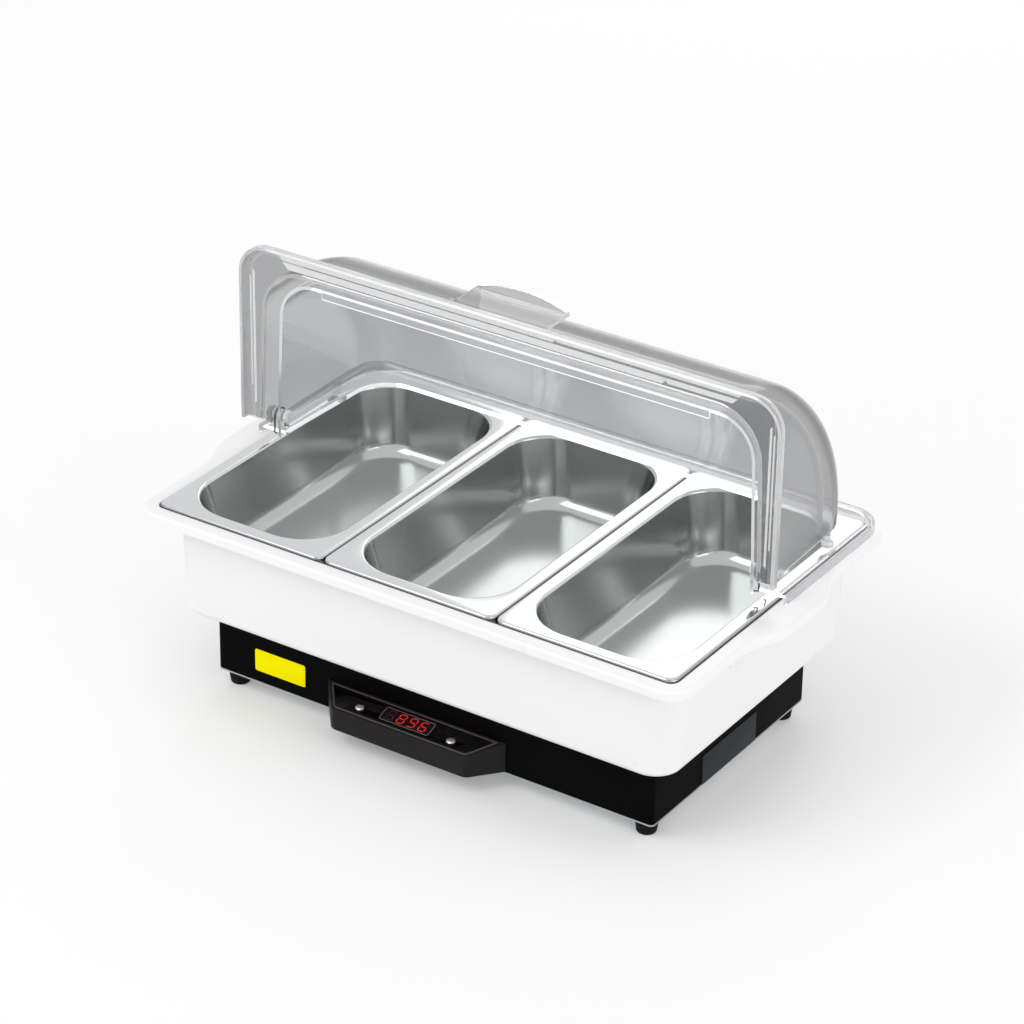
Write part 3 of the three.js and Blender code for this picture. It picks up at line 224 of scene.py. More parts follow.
def rounded_section(
    corners: Sequence[tuple[Sequence[float], float]], steps: int, closed: bool = False
) -> list[list[float]]:
    """Rounds the corners of a section line.

    Args:
        corners: Each corner as its values and its fillet radius. The first two values are the
            place in the section, and any others are blended along the line.
        steps: Steps in each fillet.
        closed: Whether the line closes on itself.

    Returns:
        The points of the rounded line, each with all its values.
    """
    line: list[list[float]] = []
    count, straight, share_at_most = len(corners), 1e-3, 0.49
    for index, (values, radius) in enumerate(corners):
        before, after = corners[index - 1][0], corners[(index + 1) % count][0]
        corner = Vector(values[:2])
        to_before, to_after = Vector(before[:2]) - corner, Vector(after[:2]) - corner
        length_before, length_after = to_before.length, to_after.length
        to_before.normalize()
        to_after.normalize()
        half = math.acos(max(-1.0, min(1.0, to_before.dot(to_after)))) / 2
        at_end = not closed and index in (0, count - 1)
        if radius <= 0 or at_end or half < straight or abs(half - QUARTER) < straight:
            line.append(list(values))
            continue
        least = min(length_before * share_at_most, length_after * share_at_most)
        back = min(radius / math.tan(half), least)
        real = back * math.tan(half)
        centre = corner + (to_before + to_after).normalized() * (real / math.sin(half))
        start = corner + to_before * back - centre
        end = corner + to_after * back - centre
        turn = math.atan2(start.x * end.y - start.y * end.x, start.dot(end))
        first = [a + (b - a) * back / length_before for a, b in zip(values, before)]
        last = [a + (b - a) * back / length_after for a, b in zip(values, after)]
        for step in range(steps + 1):
            share = step / steps
            sin, cos = math.sin(turn * share), math.cos(turn * share)
            x = centre.x + start.x * cos - start.y * sin
            y = centre.y + start.x * sin + start.y * cos
            rest = [a + (b - a) * share for a, b in zip(first[2:], last[2:])]
            line.append([x, y, *rest])
    return line


def shade(obj: Obj, angle: float) -> Obj:
    """Smooths an object's shading and keeps edges sharper than an angle, in degrees."""
    work = bmesh.new()
    work.from_mesh(obj.data)
    limit = math.radians(angle)
    for face in work.faces:
        face.smooth = True
    for edge in work.edges:
        edge.smooth = len(edge.link_faces) == 2 and edge.calc_face_angle(math.pi) < limit
    work.to_mesh(obj.data)
    work.free()
    return obj


def baked(obj: Obj) -> Obj:
    """Turns an object's modifiers into its mesh."""
    depsgraph = bpy.context.evaluated_depsgraph_get()
    mesh = bpy.data.meshes.new_from_object(obj.evaluated_get(depsgraph), depsgraph=depsgraph)
    obj.modifiers.clear()
    old, obj.data = obj.data, mesh
    mesh.name = obj.name
    if old.users == 0:
        bpy.data.meshes.remove(old)
    return obj


def combine(obj: Obj, other: Obj, operation: str) -> Obj:
    """Joins, cuts or crosses an object with another, which is used up.

    Args:
        obj: The object that changes.
        other: The object that is used and removed.
        operation: UNION, DIFFERENCE or INTERSECT.

    Returns:
        The changed object.
    """
    modifier = obj.modifiers.new("combine", "BOOLEAN")
    modifier.object = other
    modifier.operation = operation
    modifier.solver = "MANIFOLD"
    baked(obj)
    used_up(other)
    return obj


def softened(
    obj: Obj, width: float, segments: int = 2, angle: float = 40, material: int = -1
) -> Obj:
    """Rounds an object's sharp edges.

    Args:
        obj: The object.
        width: Width of the rounding, in mm.
        segments: Steps across it.
        angle: Least angle of an edge that is rounded, in degrees.
        material: Material slot of the rounded edges, or -1 to keep that of their neighbours.

    Returns:
        The object.
    """
    modifier = obj.modifiers.new("soften", "BEVEL")
    modifier.width = width * MM
    modifier.segments = segments
    modifier.limit_method = "ANGLE"
    modifier.angle_limit = math.radians(angle)
    modifier.use_clamp_overlap = True
    modifier.harden_normals = False
    modifier.material = material
    return baked(obj)


def moved(obj: Obj, matrix: Matrix) -> Obj:
    """Moves an object's mesh, so that the object itself stays at the origin."""
    obj.data.transform(matrix)
    return obj


def place(x: float = 0, y: float = 0, z: float = 0) -> Matrix:
    """A shift in mm."""
    return Matrix.Translation((x * MM, y * MM, z * MM))


def turned(angle: float, axis: str) -> Matrix:
    """A turn about an axis."""
    return Matrix.Rotation(angle, 4, axis)


UPRIGHT = turned(-QUARTER, "Y")
OPENED = turned(-QUARTER, "X")


def joined(name: str, parts: Sequence[Obj]) -> Obj:
    """Puts several objects into one mesh object, keeping their materials."""
    materials: list[bpy.types.Material] = []
    work = bmesh.new()
    for part in parts:
        for slot in part.data.materials:
            if slot not in materials:
                materials.append(slot)
        table = [materials.index(slot) for slot in part.data.materials]
        start = len(work.faces)
        work.from_mesh(part.data)
        work.faces.ensure_lookup_table()
        for face in work.faces[start:]:
            if table:
                face.material_index = table[min(face.material_index, len(table) - 1)]
    mesh = bpy.data.meshes.new(name)
    work.to_mesh(mesh)
    work.free()
    for material in materials:
        mesh.materials.append(material)
    obj = linked(name, mesh)
    for part in parts:
        used_up(part)
    return obj


# Shader groups


class Nodes:
    """A short way to add and link nodes in one tree."""

    def __init__(self, tree: Tree) -> None:
        """Keeps the tree."""
        self.tree = tree

    def add(self, kind: str, inputs: dict | None = None, **values: object) -> Node:
        """Adds a node.

        Args:
            kind: The node's type name.
            inputs: A value, or a socket to link from, for each input by its name or number.
            **values: Attributes of the node.

        Returns:
            The new node.
        """
        node = self.tree.nodes.new(kind)
        for key, value in values.items():
            setattr(node, key, value)
        self.feed(node, inputs or {})
        return node

    def feed(self, node: Node, inputs: dict) -> None:
        """Sets or links a node's inputs."""
        for key, value in inputs.items():
            if isinstance(value, Socket):
                self.tree.links.new(value, node.inputs[key])
            else:
                node.inputs[key].default_value = value

    def noise(self, vector: Socket, scale: Socket, detail: float, roughness: float) -> Socket:
        """Adds a noise texture and gives its value."""
        inputs = {"Vector": vector, "Scale": scale, "Detail": detail, "Roughness": roughness}
        return self.add("ShaderNodeTexNoise", inputs).outputs["Fac"]

    def math(self, operation: str, first: Socket, second: Socket | float) -> Socket:
        """Adds a sum and gives its result."""
        return self.add("ShaderNodeMath", {0: first, 1: second}, operation=operation).outputs[0]


def shader_group(name: str, inputs: dict[str, float | None], outputs: Sequence[str]) -> tuple:
    """Starts a shader node group.

    Args:
        name: Name of the group.
        inputs: Default of each float input, or None where it is a vector.
        outputs: Names of the float outputs.

    Returns:
        The tree, its Nodes helper, its input node's outputs and its output node.
    """
    tree = bpy.data.node_groups.new(name, "ShaderNodeTree")
    for label, default in inputs.items():
        kind = "NodeSocketVector" if default is None else "NodeSocketFloat"
        socket = tree.interface.new_socket(label, in_out="INPUT", socket_type=kind)
        if default is not None:
            socket.default_value = default
    for label in outputs:
        tree.interface.new_socket(label, in_out="OUTPUT", socket_type="NodeSocketFloat")
    nodes = Nodes(tree)
    return tree, nodes, nodes.add("NodeGroupInput").outputs, nodes.add("NodeGroupOutput")


def brushed_group() -> Tree:
    """Fine brush lines along one direction, with a slow drift in their strength."""
    inputs = {"Vector": None, "Fineness": 900.0, "Drift": 14.0}
    tree, nodes, start, end = shader_group("brush_lines", inputs, ("Lines", "Drift"))
    factors = {0: start["Vector"], 1: (0.03, 1.0, 1.0)}
    stretch = nodes.add("ShaderNodeVectorMath", factors, operation="MULTIPLY").outputs[0]
    nodes.feed(end, {"Lines": nodes.noise(stretch, start["Fineness"], 3.0, 0.7)})
    nodes.feed(end, {"Drift": nodes.noise(start["Vector"], start["Drift"], 2.0, 0.5)})
    return tree


def mottle_group() -> Tree:
    """A slow mottling and a fine texture, each from 0 to 1."""
    inputs = {"Vector": None, "Coarse": 9.0, "Fine": 600.0}
    tree, nodes, start, end = shader_group("mottle", inputs, ("Patches", "Texture"))
    nodes.feed(end, {"Patches": nodes.noise(start["Vector"], start["Coarse"], 4.0, 0.55)})
    nodes.feed(end, {"Texture": nodes.noise(start["Vector"], start["Fine"], 2.0, 0.5)})
    return tree


class Groups:
    """The shared shader groups, each built once."""

    brushed: Tree
    mottle: Tree

    @classmethod
    def build(cls) -> None:
        """Builds both groups."""
        cls.brushed = brushed_group()
        cls.mottle = mottle_group()


# Finishes


@dataclass(frozen=True)
class Finish:
    """A finish with its colour, gloss and surface texture.

    Attributes:
        slot: The record's material slot that it stands for, or its own name.
        colour: Base colour, linear.
        roughness: Middle roughness.
        spread: How far the roughness drifts to each side.
        tint: How far the colour drifts, as a share of itself.
        metallic: 1 for metal.
        fine: Scale of the fine texture.
        bump: Height of the fine texture in metres.
        coarse: Scale of the patches.
        gloss: Specular level, where 0.5 is plain plastic.
    """

    slot: str
    colour: Colour
    roughness: float = 0.4
    spread: float = 0.06
    tint: float = 0.06
    metallic: float = 0.0
    fine: float = 500.0
    bump: float = 0.00002
    coarse: float = 9.0
    gloss: float = 0.5

    def material(self) -> bpy.types.Material:
        """Builds the finish on a Principled shader."""
        material = bpy.data.materials.new(self.slot)
        material.use_nodes = True
        material.diffuse_color = (*self.colour, 1.0)
        nodes = Nodes(material.node_tree)
        shader = material.node_tree.nodes["Principled BSDF"]
        nodes.feed(shader, {"Metallic": self.metallic, "Specular IOR Level": self.gloss})
        place_on = nodes.add("ShaderNodeTexCoord").outputs["Object"]
        nodes.feed(shader, self.look(nodes, place_on))
        return material

    def look(self, nodes: Nodes, place_on: Socket) -> dict[str, object]:
        """What the shader gets: mottled colour and roughness, with a fine texture.

        Args:
            nodes: The material's nodes.
            place_on: Object coordinates.

        Returns:
            A value or a socket for each of the shader's inputs.
        """
        mottle = self.mottled(nodes, place_on, self.coarse)
        return {
            "Base Color": self.drifting(nodes, mottle["Patches"]),
            **self.surface(nodes, mottle["Patches"], mottle["Texture"]),
        }

    def mottled(self, nodes: Nodes, place_on: Socket, coarse: float) -> bpy.types.NodeOutputs:
        """Places the shared mottling."""
        inputs = {"Vector": place_on, "Coarse": coarse, "Fine": self.fine}
        return nodes.add("ShaderNodeGroup", inputs, node_tree=Groups.mottle).outputs

    def drifting(self, nodes: Nodes, value: Socket) -> Socket:
        """The colour, drifting to both sides of itself with a noise value."""
        dark = [c * (1 - self.tint) for c in self.colour]
        light = [min(c * (1 + self.tint), 1.0) for c in self.colour]
        return self.mixed(nodes, self.ranged(nodes, value, NOISE_RANGE, (0, 1)), dark, light)

    def surface(self, nodes: Nodes, drift: Socket, height: Socket) -> dict[str, Socket]:
        """The drifting roughness and the fine relief."""
        limits = (self.roughness - self.spread, self.roughness + self.spread)
        relief = {"Distance": self.bump, "Strength": 1.0, "Height": height}
        return {
            "Roughness": self.ranged(nodes, drift, NOISE_RANGE, limits),
            "Normal": nodes.add("ShaderNodeBump", relief).outputs["Normal"],
        }

    def ranged(
        self, nodes: Nodes, value: Socket, start: Sequence[float], end: Sequence[float]
    ) -> Socket:
        """Maps a value smoothly from one range to another."""
        ends = {"From Min": start[0], "From Max": start[1], "To Min": end[0], "To Max": end[1]}
        inputs = {"Value": value, **ends}
        return nodes.add("ShaderNodeMapRange", inputs, interpolation_type="SMOOTHSTEP").outputs[0]

    def mixed(
        self, nodes: Nodes, mask: Socket, first: Sequence[float] | Socket, second: Sequence[float]
    ) -> Socket:
        """Mixes two colours by a mask; the first may come from a socket."""
        start = first if isinstance(first, Socket) else (*first, 1.0)
        inputs = {0: mask, 6: start, 7: (*second, 1.0)}
        return nodes.add("ShaderNodeMix", inputs, data_type="RGBA").outputs[2]


@dataclass(frozen=True)
class BrushedSteel(Finish):
    """Stainless or plated sheet with brush lines across X."""

    metallic: float = 1.0
    anisotropy: float = 0.35
    fineness: float = 900.0

    def look(self, nodes: Nodes, place_on: Socket) -> dict[str, object]:
        """What the shader gets: brush lines in colour and height, and drifting roughness."""
        inputs = {"Vector": place_on, "Fineness": self.fineness}
        group = nodes.add("ShaderNodeGroup", inputs, node_tree=Groups.brushed).outputs
        lines, drift = group["Lines"], group["Drift"]
        colour = self.drifting(nodes, lines)
        surface = self.surface(nodes, drift, lines)
        return {"Base Color": colour, "Anisotropic": self.anisotropy, **surface}


@dataclass(frozen=True)
class ClearPlastic(Finish):
    """Clear moulded plastic with a faint tint, the haze of handling and, where set, a painted shade
    at its foot and where it is seen edge-on.

    Attributes:
        ior: Index of refraction.
        clear: Share of light that passes; the rest is milky.
        foot: Darker tint below a height, a painted shade, or None where the tint is the same all
            over.
        foot_axis: Axis along which the painted shade at the foot lies, 1 for Y and 2 for Z.
        foot_from: Place along the axis, in metres, where the painted shade at the foot ends.
        edge_on: Share of the light that still passes where the sheet is seen edge-on, a painted
            shade.
        edge_range: How far turned away it is where that painted shade begins and where it is
            reached.
    """

    ior: float = 1.32
    clear: float = 1.0
    foot: Colour | None = None
    foot_axis: int = 2
    foot_from: float = 0.195
    edge_on: float = 1.0
    edge_range: tuple[float, float] = (0.57, 0.76)

    def look(self, nodes: Nodes, place_on: Socket) -> dict[str, object]:
        """What the shader gets: tinted clear plastic with patches of haze, and the painted shade at
        its foot and edge-on where set.
        """
        mottle = self.mottled(nodes, place_on, self.coarse)
        colour: object = (*self.colour, 1.0)
        # Painted shade: a darker tint below a height.
        if self.foot:
            height = nodes.add("ShaderNodeSeparateXYZ", {0: place_on}).outputs[self.foot_axis]
            limits = (self.foot_from - 0.001, self.foot_from + 0.001)
            above = self.ranged(nodes, height, limits, (0, 1))
            colour = self.mixed(nodes, above, self.foot, self.colour)
            # Painted shade: a darker tint where the sheet is seen edge-on.
            if self.edge_on < 1:
                facing = nodes.add("ShaderNodeLayerWeight", {"Blend": 0.5}).outputs["Facing"]
                edge_shade = self.ranged(nodes, facing, self.edge_range, (0, 1))
                colour = self.mixed(nodes, edge_shade, colour, [c * self.edge_on for c in self.colour])
        return {
            "Transmission Weight": self.clear,
            "IOR": self.ior,
            "Base Color": colour,
            **self.surface(nodes, mottle["Patches"], mottle["Texture"]),
        }


@dataclass(frozen=True)
class Glow(Finish):
    """A lit surface, such as a display segment."""

    strength: float = 2.0

    def look(self, nodes: Nodes, place_on: Socket) -> dict[str, object]:
        """What the shader gets: a glowing colour that is a little uneven."""
        patches = self.mottled(nodes, place_on, 400.0)["Patches"]
        mask = self.ranged(nodes, patches, NOISE_RANGE, (0, 1))
        colour = self.mixed(nodes, mask, [c * 0.8 for c in self.colour], self.colour)
        return {
            "Base Color": colour,
            "Emission Color": colour,
            "Emission Strength": self.strength,
            "Roughness": self.roughness,
        }


FINE_PLASTIC = {"bump": 0.000004}
# The edge-on setting below gives the clear cover a painted shade where it is seen edge-on.
SMOOTH_PLASTIC = {"bump": 0.0000004, "edge_on": 0.08}
SMOOTH_STEEL = {"bump": 0.0000002}

FINISHES: tuple[Finish, ...] = (
    Finish(
        "base_black", (0.0024, 0.0024, 0.0026), 0.42, 0.05, 0.3,
        fine=700, bump=0.000012, gloss=0.02,
    ),
    BrushedSteel("zinc_sheet", (0.5, 0.52, 0.54), 0.38, 0.08, 0.12),
    BrushedSteel("clip_steel", (0.12, 0.12, 0.125), 0.25, 0.05, 0.2, fineness=4000),
    BrushedSteel("screw_steel", (0.52, 0.53, 0.55), 0.3, 0.06, 0.1, fineness=3000),
    Finish(
        "foot_rubber", (0.004, 0.004, 0.004), 0.75, 0.08, 0.3,
        fine=1500, bump=0.00005, gloss=0.15,
    ),
    BrushedSteel("plate_aluminium", (0.6, 0.61, 0.62), 0.42, 0.08, 0.12, fineness=500),
    BrushedSteel("element_sheath", (0.16, 0.14, 0.12), 0.5, 0.1, 0.3),
    Finish("circuit_board", (0.02, 0.1, 0.045), 0.45, 0.08, 0.2, fine=1200),
    Finish("component_black", (0.02, 0.02, 0.023), 0.5, 0.08, 0.2, fine=1500),
    Finish("terminal_grey", (0.3, 0.31, 0.32), 0.5, 0.08, 0.1, fine=1500),
    Finish("lead_white", (0.66, 0.63, 0.58), 0.6, 0.08, 0.08, fine=1500),
    Finish("inlet_black", (0.012, 0.012, 0.013), 0.45, 0.08, 0.2, fine=1500, gloss=0.3),
    Finish(
        "box_black", (0.0105, 0.010, 0.0112), 0.5, 0.05, 0.2,
        fine=1400, bump=0.00003, gloss=0.15,
    ),
    Finish("bezel_bronze", (0.085, 0.068, 0.06), 0.4, 0.06, 0.12, fine=1400, gloss=0.3),
    Finish(
        "panel_black", (0.002, 0.0016, 0.002), 0.12, 0.03, 0.2,
        fine=300, gloss=0.18, **FINE_PLASTIC,
    ),
    BrushedSteel("button_chrome", (0.5, 0.5, 0.51), 0.2, 0.05, 0.06, fineness=4000),
    Finish("sticker_yellow", (0.99, 0.88, 0.0), 0.5, 0.05, 0.03, fine=900, gloss=0.02),
    Finish("label_grey", (0.026, 0.028, 0.031), 0.5, 0.06, 0.12, fine=900, gloss=0.1),
    Finish("tub_white", (0.895, 0.897, 0.905), 0.3, 0.04, 0.008, fine=260, bump=0.000006),
    # The three pan steels below are one steel sheet at three tones: the lighter rim steel is a
    # painted highlight on the flat rim, and the darker bead steel is a painted shade line along the
    # bead.
    BrushedSteel(
        "pan_steel", (0.465, 0.48, 0.475), 0.18, 0.02, 0.015, anisotropy=0.2, **SMOOTH_STEEL
    ),
    BrushedSteel(
        "rim_steel", (0.63, 0.635, 0.645), 0.11, 0.02, 0.015, anisotropy=0.1, **SMOOTH_STEEL
    ),
    BrushedSteel(
        "bead_steel", (0.4, 0.405, 0.41), 0.1, 0.02, 0.02, anisotropy=0.1, **SMOOTH_STEEL
    ),
    # The two cover tints below are painted shade: the front half is tinted darker than the rear
    # though both are one plastic, and each is darker still at its foot.
    ClearPlastic(
        "cover_front", (0.56, 0.565, 0.572), 0.01, 0.008, clear=0.8,
        foot=(0.4, 0.404, 0.41), foot_axis=1, foot_from=-0.0155, **SMOOTH_PLASTIC,
    ),
    ClearPlastic(
        "cover_rear", (0.88, 0.885, 0.893), 0.01, 0.008,
        foot=(0.72, 0.725, 0.735), **SMOOTH_PLASTIC,
    ),
    # The paler milky edge finish below is a painted highlight on the cover's edges and join lines.
    ClearPlastic("cover_edge", (0.64, 0.645, 0.655), 0.22, 0.05, clear=0.55, **FINE_PLASTIC),
    # The milky strip finish below is for thin strips under the flange, painted glints.
    ClearPlastic("cover_band", (0.86, 0.865, 0.875), 0.3, 0.05, clear=0.25, **FINE_PLASTIC),
    ClearPlastic("hinge_chrome", (0.93, 0.935, 0.94), 0.08, 0.03, clear=0.25),
    ClearPlastic("hinge_clear", (0.9, 0.905, 0.91), 0.08, 0.02, bump=0.000002, clear=0.45),
    Glow("display_lit", (0.6, 0.016, 0.012), 0.3, strength=0.62),
    Finish("display_unlit", (0.05, 0.016, 0.018), 0.3, 0.04, 0.1, fine=2000, gloss=0.2),
    Finish("display_window", (0.010, 0.004, 0.005), 0.14, 0.03, 0.2, fine=1200, gloss=0.2),
    Finish("display_frame", (0.13, 0.11, 0.115), 0.4, 0.05, 0.1, fine=1500, gloss=0.2),
)


class Finishes:
    """All the finishes of the warmer, with their materials built once."""

    table: dict[str, Finish] = {finish.slot: finish for finish in FINISHES}
    built: dict[str, bpy.types.Material] = {}

    @classmethod
    def get(cls, name: str) -> bpy.types.Material:
        """The material of a finish, by its name."""
        if name not in cls.built:
            cls.built[name] = cls.table[name].material()
        return cls.built[name]


def dress(obj: Obj, *finishes: str) -> Obj:
    """Gives an object its finishes, of which its faces take the first."""
    obj.data.materials.clear()
    for finish in finishes:
        obj.data.materials.append(Finishes.get(finish))
    return obj


def settle(obj: Obj, body: Body, nodes: Sequence[str] = ()) -> Obj:
    """Hands a finished piece to the frame.

    Args:
        obj: The piece.
        body: The body that it rides on.
        nodes: The CAD nodes that it stands for.

    Returns:
        The piece.
    """
    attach(obj, body.value)
    if nodes:
        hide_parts(*nodes)
    LOG.info("%s rides on %s with %d faces", obj.name, body.value, len(obj.data.polygons))
    return obj


# Repeated pieces by Geometry Nodes


def geometry_tree(
    name: str, inputs: dict[str, str], make: Callable[[Nodes, bpy.types.NodeOutputs], Socket]
) -> Tree:
    """A tree that makes something, makes it real and gives it a finish.

    Args:
        name: Name of the tree.
        inputs: Socket type of each named input.
        make: Adds the nodes between, and gives what they make.

    Returns:
        The tree.
    """
    tree = bpy.data.node_groups.new(name, "GeometryNodeTree")
    for label, kind in inputs.items():
        tree.interface.new_socket(label, in_out="INPUT", socket_type=kind)
    tree.interface.new_socket("Result", in_out="OUTPUT", socket_type="NodeSocketGeometry")
    nodes = Nodes(tree)
    start, end = nodes.add("NodeGroupInput").outputs, nodes.add("NodeGroupOutput")
    real = nodes.add("GeometryNodeRealizeInstances", {0: make(nodes, start)}).outputs[0]
    finish = {"Geometry": real, "Material": start["Finish"]}
    nodes.feed(end, {"Result": nodes.add("GeometryNodeSetMaterial", finish).outputs[0]})
    return tree


def copies_on_points(nodes: Nodes, start: bpy.types.NodeOutputs) -> Socket:
    """The nodes that put a piece on each point."""
    piece = nodes.add("GeometryNodeObjectInfo", {"Object": start["Piece"]}).outputs["Geometry"]
    inputs = {"Points": start["Points"], "Instance": piece, "Rotation": start["Turn"]}
    return nodes.add("GeometryNodeInstanceOnPoints", inputs).outputs[0]


def wire_on_line(nodes: Nodes, start: bpy.types.NodeOutputs) -> Socket:
    """The nodes that run a round wire along a line of points."""
    line = nodes.add("GeometryNodeMeshToCurve", {"Mesh": start["Line"]}).outputs["Curve"]
    circle = {"Resolution": 16, "Radius": start["Radius"]}
    ring = nodes.add("GeometryNodeCurvePrimitiveCircle", circle).outputs["Curve"]
    inputs = {"Fill Caps": True, "Curve": line, "Profile Curve": ring}
    return nodes.add("GeometryNodeCurveToMesh", inputs).outputs["Mesh"]


def grown(obj: Obj, tree: Tree, values: dict[str, object]) -> Obj:
    """Runs a Geometry Nodes tree on an object and keeps the result as its plain mesh.

    Args:
        obj: The object.
        tree: The tree.
        values: The tree's inputs, by their names.

    Returns:
        The object.
    """
    modifier = obj.modifiers.new("grown", "NODES")
    modifier.node_group = tree
    for item in tree.interface.items_tree:
        if item.in_out == "INPUT" and item.name in values:
            modifier[item.identifier] = values[item.name]
    return baked(obj)


def wire_on_path(name: str, points: Sequence[Point], radius: float, finish: str) -> Obj:
    """Runs a round wire along points.

    Args:
        name: Name of the result.
        points: Points in mm.
        radius: The wire's radius in mm.
        finish: Finish of the wire.

    Returns:
        The wire as one plain mesh.
    """
    inputs = {
        "Line": "NodeSocketGeometry",
        "Radius": "NodeSocketFloat",
        "Finish": "NodeSocketMaterial",
    }
    obj = point_object(name, points, [(i, i + 1) for i in range(len(points) - 1)])
    known = bpy.data.node_groups.get("wire_on_path")
    tree = known or geometry_tree("wire_on_path", inputs, wire_on_line)
    grown(obj, tree, {"Radius": radius * MM, "Finish": Finishes.get(finish)})
    return shade(closed_up(obj), 50)


def copies(
    name: str, piece: Obj, points: Sequence[Point], finish: str, turn: Sequence[float] = (0, 0, 0)
) -> Obj:
    """Puts copies of a piece on points, as one plain mesh.

    Args:
        name: Name of the result.
        piece: The piece to copy, which is used up.
        points: Places in mm.
        finish: Finish of the copies.
        turn: Turn of each copy, as Euler angles.

    Returns:
        One mesh with all the copies.
    """
    inputs = {
        "Points": "NodeSocketGeometry",
        "Piece": "NodeSocketObject",
        "Turn": "NodeSocketVector",
        "Finish": "NodeSocketMaterial",
    }
    known = bpy.data.node_groups.get("copies_on_points")
    tree = known or geometry_tree("copies_on_points", inputs, copies_on_points)
    obj = point_object(name, points)
    grown(obj, tree, {"Piece": piece, "Turn": tuple(turn), "Finish": Finishes.get(finish)})
    used_up(piece)
    return obj


# Food pans


@dataclass
class FoodPan:
    """A steel food pan with a flat rim, a rolled bead and a drafted well."""

    name: str = "pan_left"
    body: Body = Body.PAN_LEFT
    centre_x: float = 0.0
    rim_z: float = 188.0
    width: float = 176.0
    length: float = 325.0
    depth: float = 65.0
    sheet: float = 1.2
    rim: float = 11.0
    bead_drop: float = 8.0
    bead_radius: float = 2.5
    bead_bend: float = 1.2
    hem: float = 0.6
    edge_radius: float = 3.0
    outer_radius: float = 9.0
    opening_radius: float = 46.0
    draft: float = 11.5
    floor_radius: float = 15.0
    corner_steps: int = 20
    bend_steps: int = 8

    def bend(
        self,
        centre: Sequence[float],
        radius: float,
        angles: Sequence[float],
        corner: float,
        follow: int = 1,
    ) -> Ring:
        """Points of one round bend in the pan's section.

        Args:
            centre: The bend's centre as (inset from the rim's edge, height).
            radius: Radius of the bend.
            angles: First and last angle.
            corner: Corner radius in plan, as if at the rim's edge.
            follow: 1 where the corner radius shrinks with the inset, and 0 where it stays.

        Returns:
            Points as (inset, height, corner radius).
        """
        points = arc(centre, (-radius, radius), *angles, self.bend_steps)
        return [(inset, z, corner - follow * inset) for inset, z in points]

    def section(self) -> Ring:
        """The section from the underside's middle, round the bead, to the middle of the floor."""
        s, edge, bead, hem = self.sheet, self.edge_radius, self.bead_radius, self.hem / 2
        wall_top = self.rim + edge
        wall_foot = wall_top + self.draft
        floor = (wall_foot + self.floor_radius, s - self.depth + self.floor_radius)
        floor_corner = self.opening_radius - self.draft / 2 + wall_foot
        edge_corner = self.opening_radius + wall_top
        outer, inner = self.outer_radius, self.outer_radius - s
        low = self.bead_drop - self.hem
        rim = (self.rim, -edge)
        return [
            *self.bend(floor, self.floor_radius + s, (-QUARTER, 0), floor_corner),
            *self.bend(rim, edge - s, (math.pi, QUARTER), edge_corner),
            (s + self.bead_bend, -s, inner - self.bead_bend),
            (s, -s - self.bead_bend, inner),
            (s, -low, inner),
            (s / 2 + hem, -self.bead_drop, inner + hem),
            (s / 2 - hem, -self.bead_drop, outer - hem),
            (0.0, -low, outer),
            *self.bend((bead, -bead), bead, (0, QUARTER), outer, follow=0),
            *self.bend(rim, edge, (QUARTER, math.pi), edge_corner),
            *self.bend(floor, self.floor_radius, (0, -QUARTER), floor_corner),
        ]

    def build(self) -> Obj:
        """Builds and dresses the pan.

        Returns:
            The pan, in the place of its CAD node.
        """
        half_x, half_y = self.width / 2, self.length / 2
        rings = []
        for inset, z, corner in self.section():
            plan = rounded_rectangle(half_x - inset, half_y - inset, corner, self.corner_steps)
            rings.append([(self.centre_x + x, y, self.rim_z + z) for x, y in plan])
        pan = shade(loft(f"{self.name}_sheet", rings), 60)
        dress(pan, "pan_steel", "rim_steel", "bead_steel")
        # The rim's faces take the lighter steel, a painted highlight, and the bead's lower faces
        # take the darker steel, a painted shade line.
        wall = self.rim + self.edge_radius + 1
        rim_low, bead_high = self.rim_z - self.edge_radius, self.rim_z - self.bead_radius * 0.3
        for face in pan.data.polygons:
            middle = face.center / MM
            outside = max(abs(middle.x - self.centre_x) - half_x, abs(middle.y) - half_y)
            if middle.z > rim_low and outside >= -wall:
                face.material_index = 1
            if middle.z < bead_high and outside > -self.bead_radius:
                face.material_index = 2
        return settle(pan, self.body, [self.name])


# Water tub


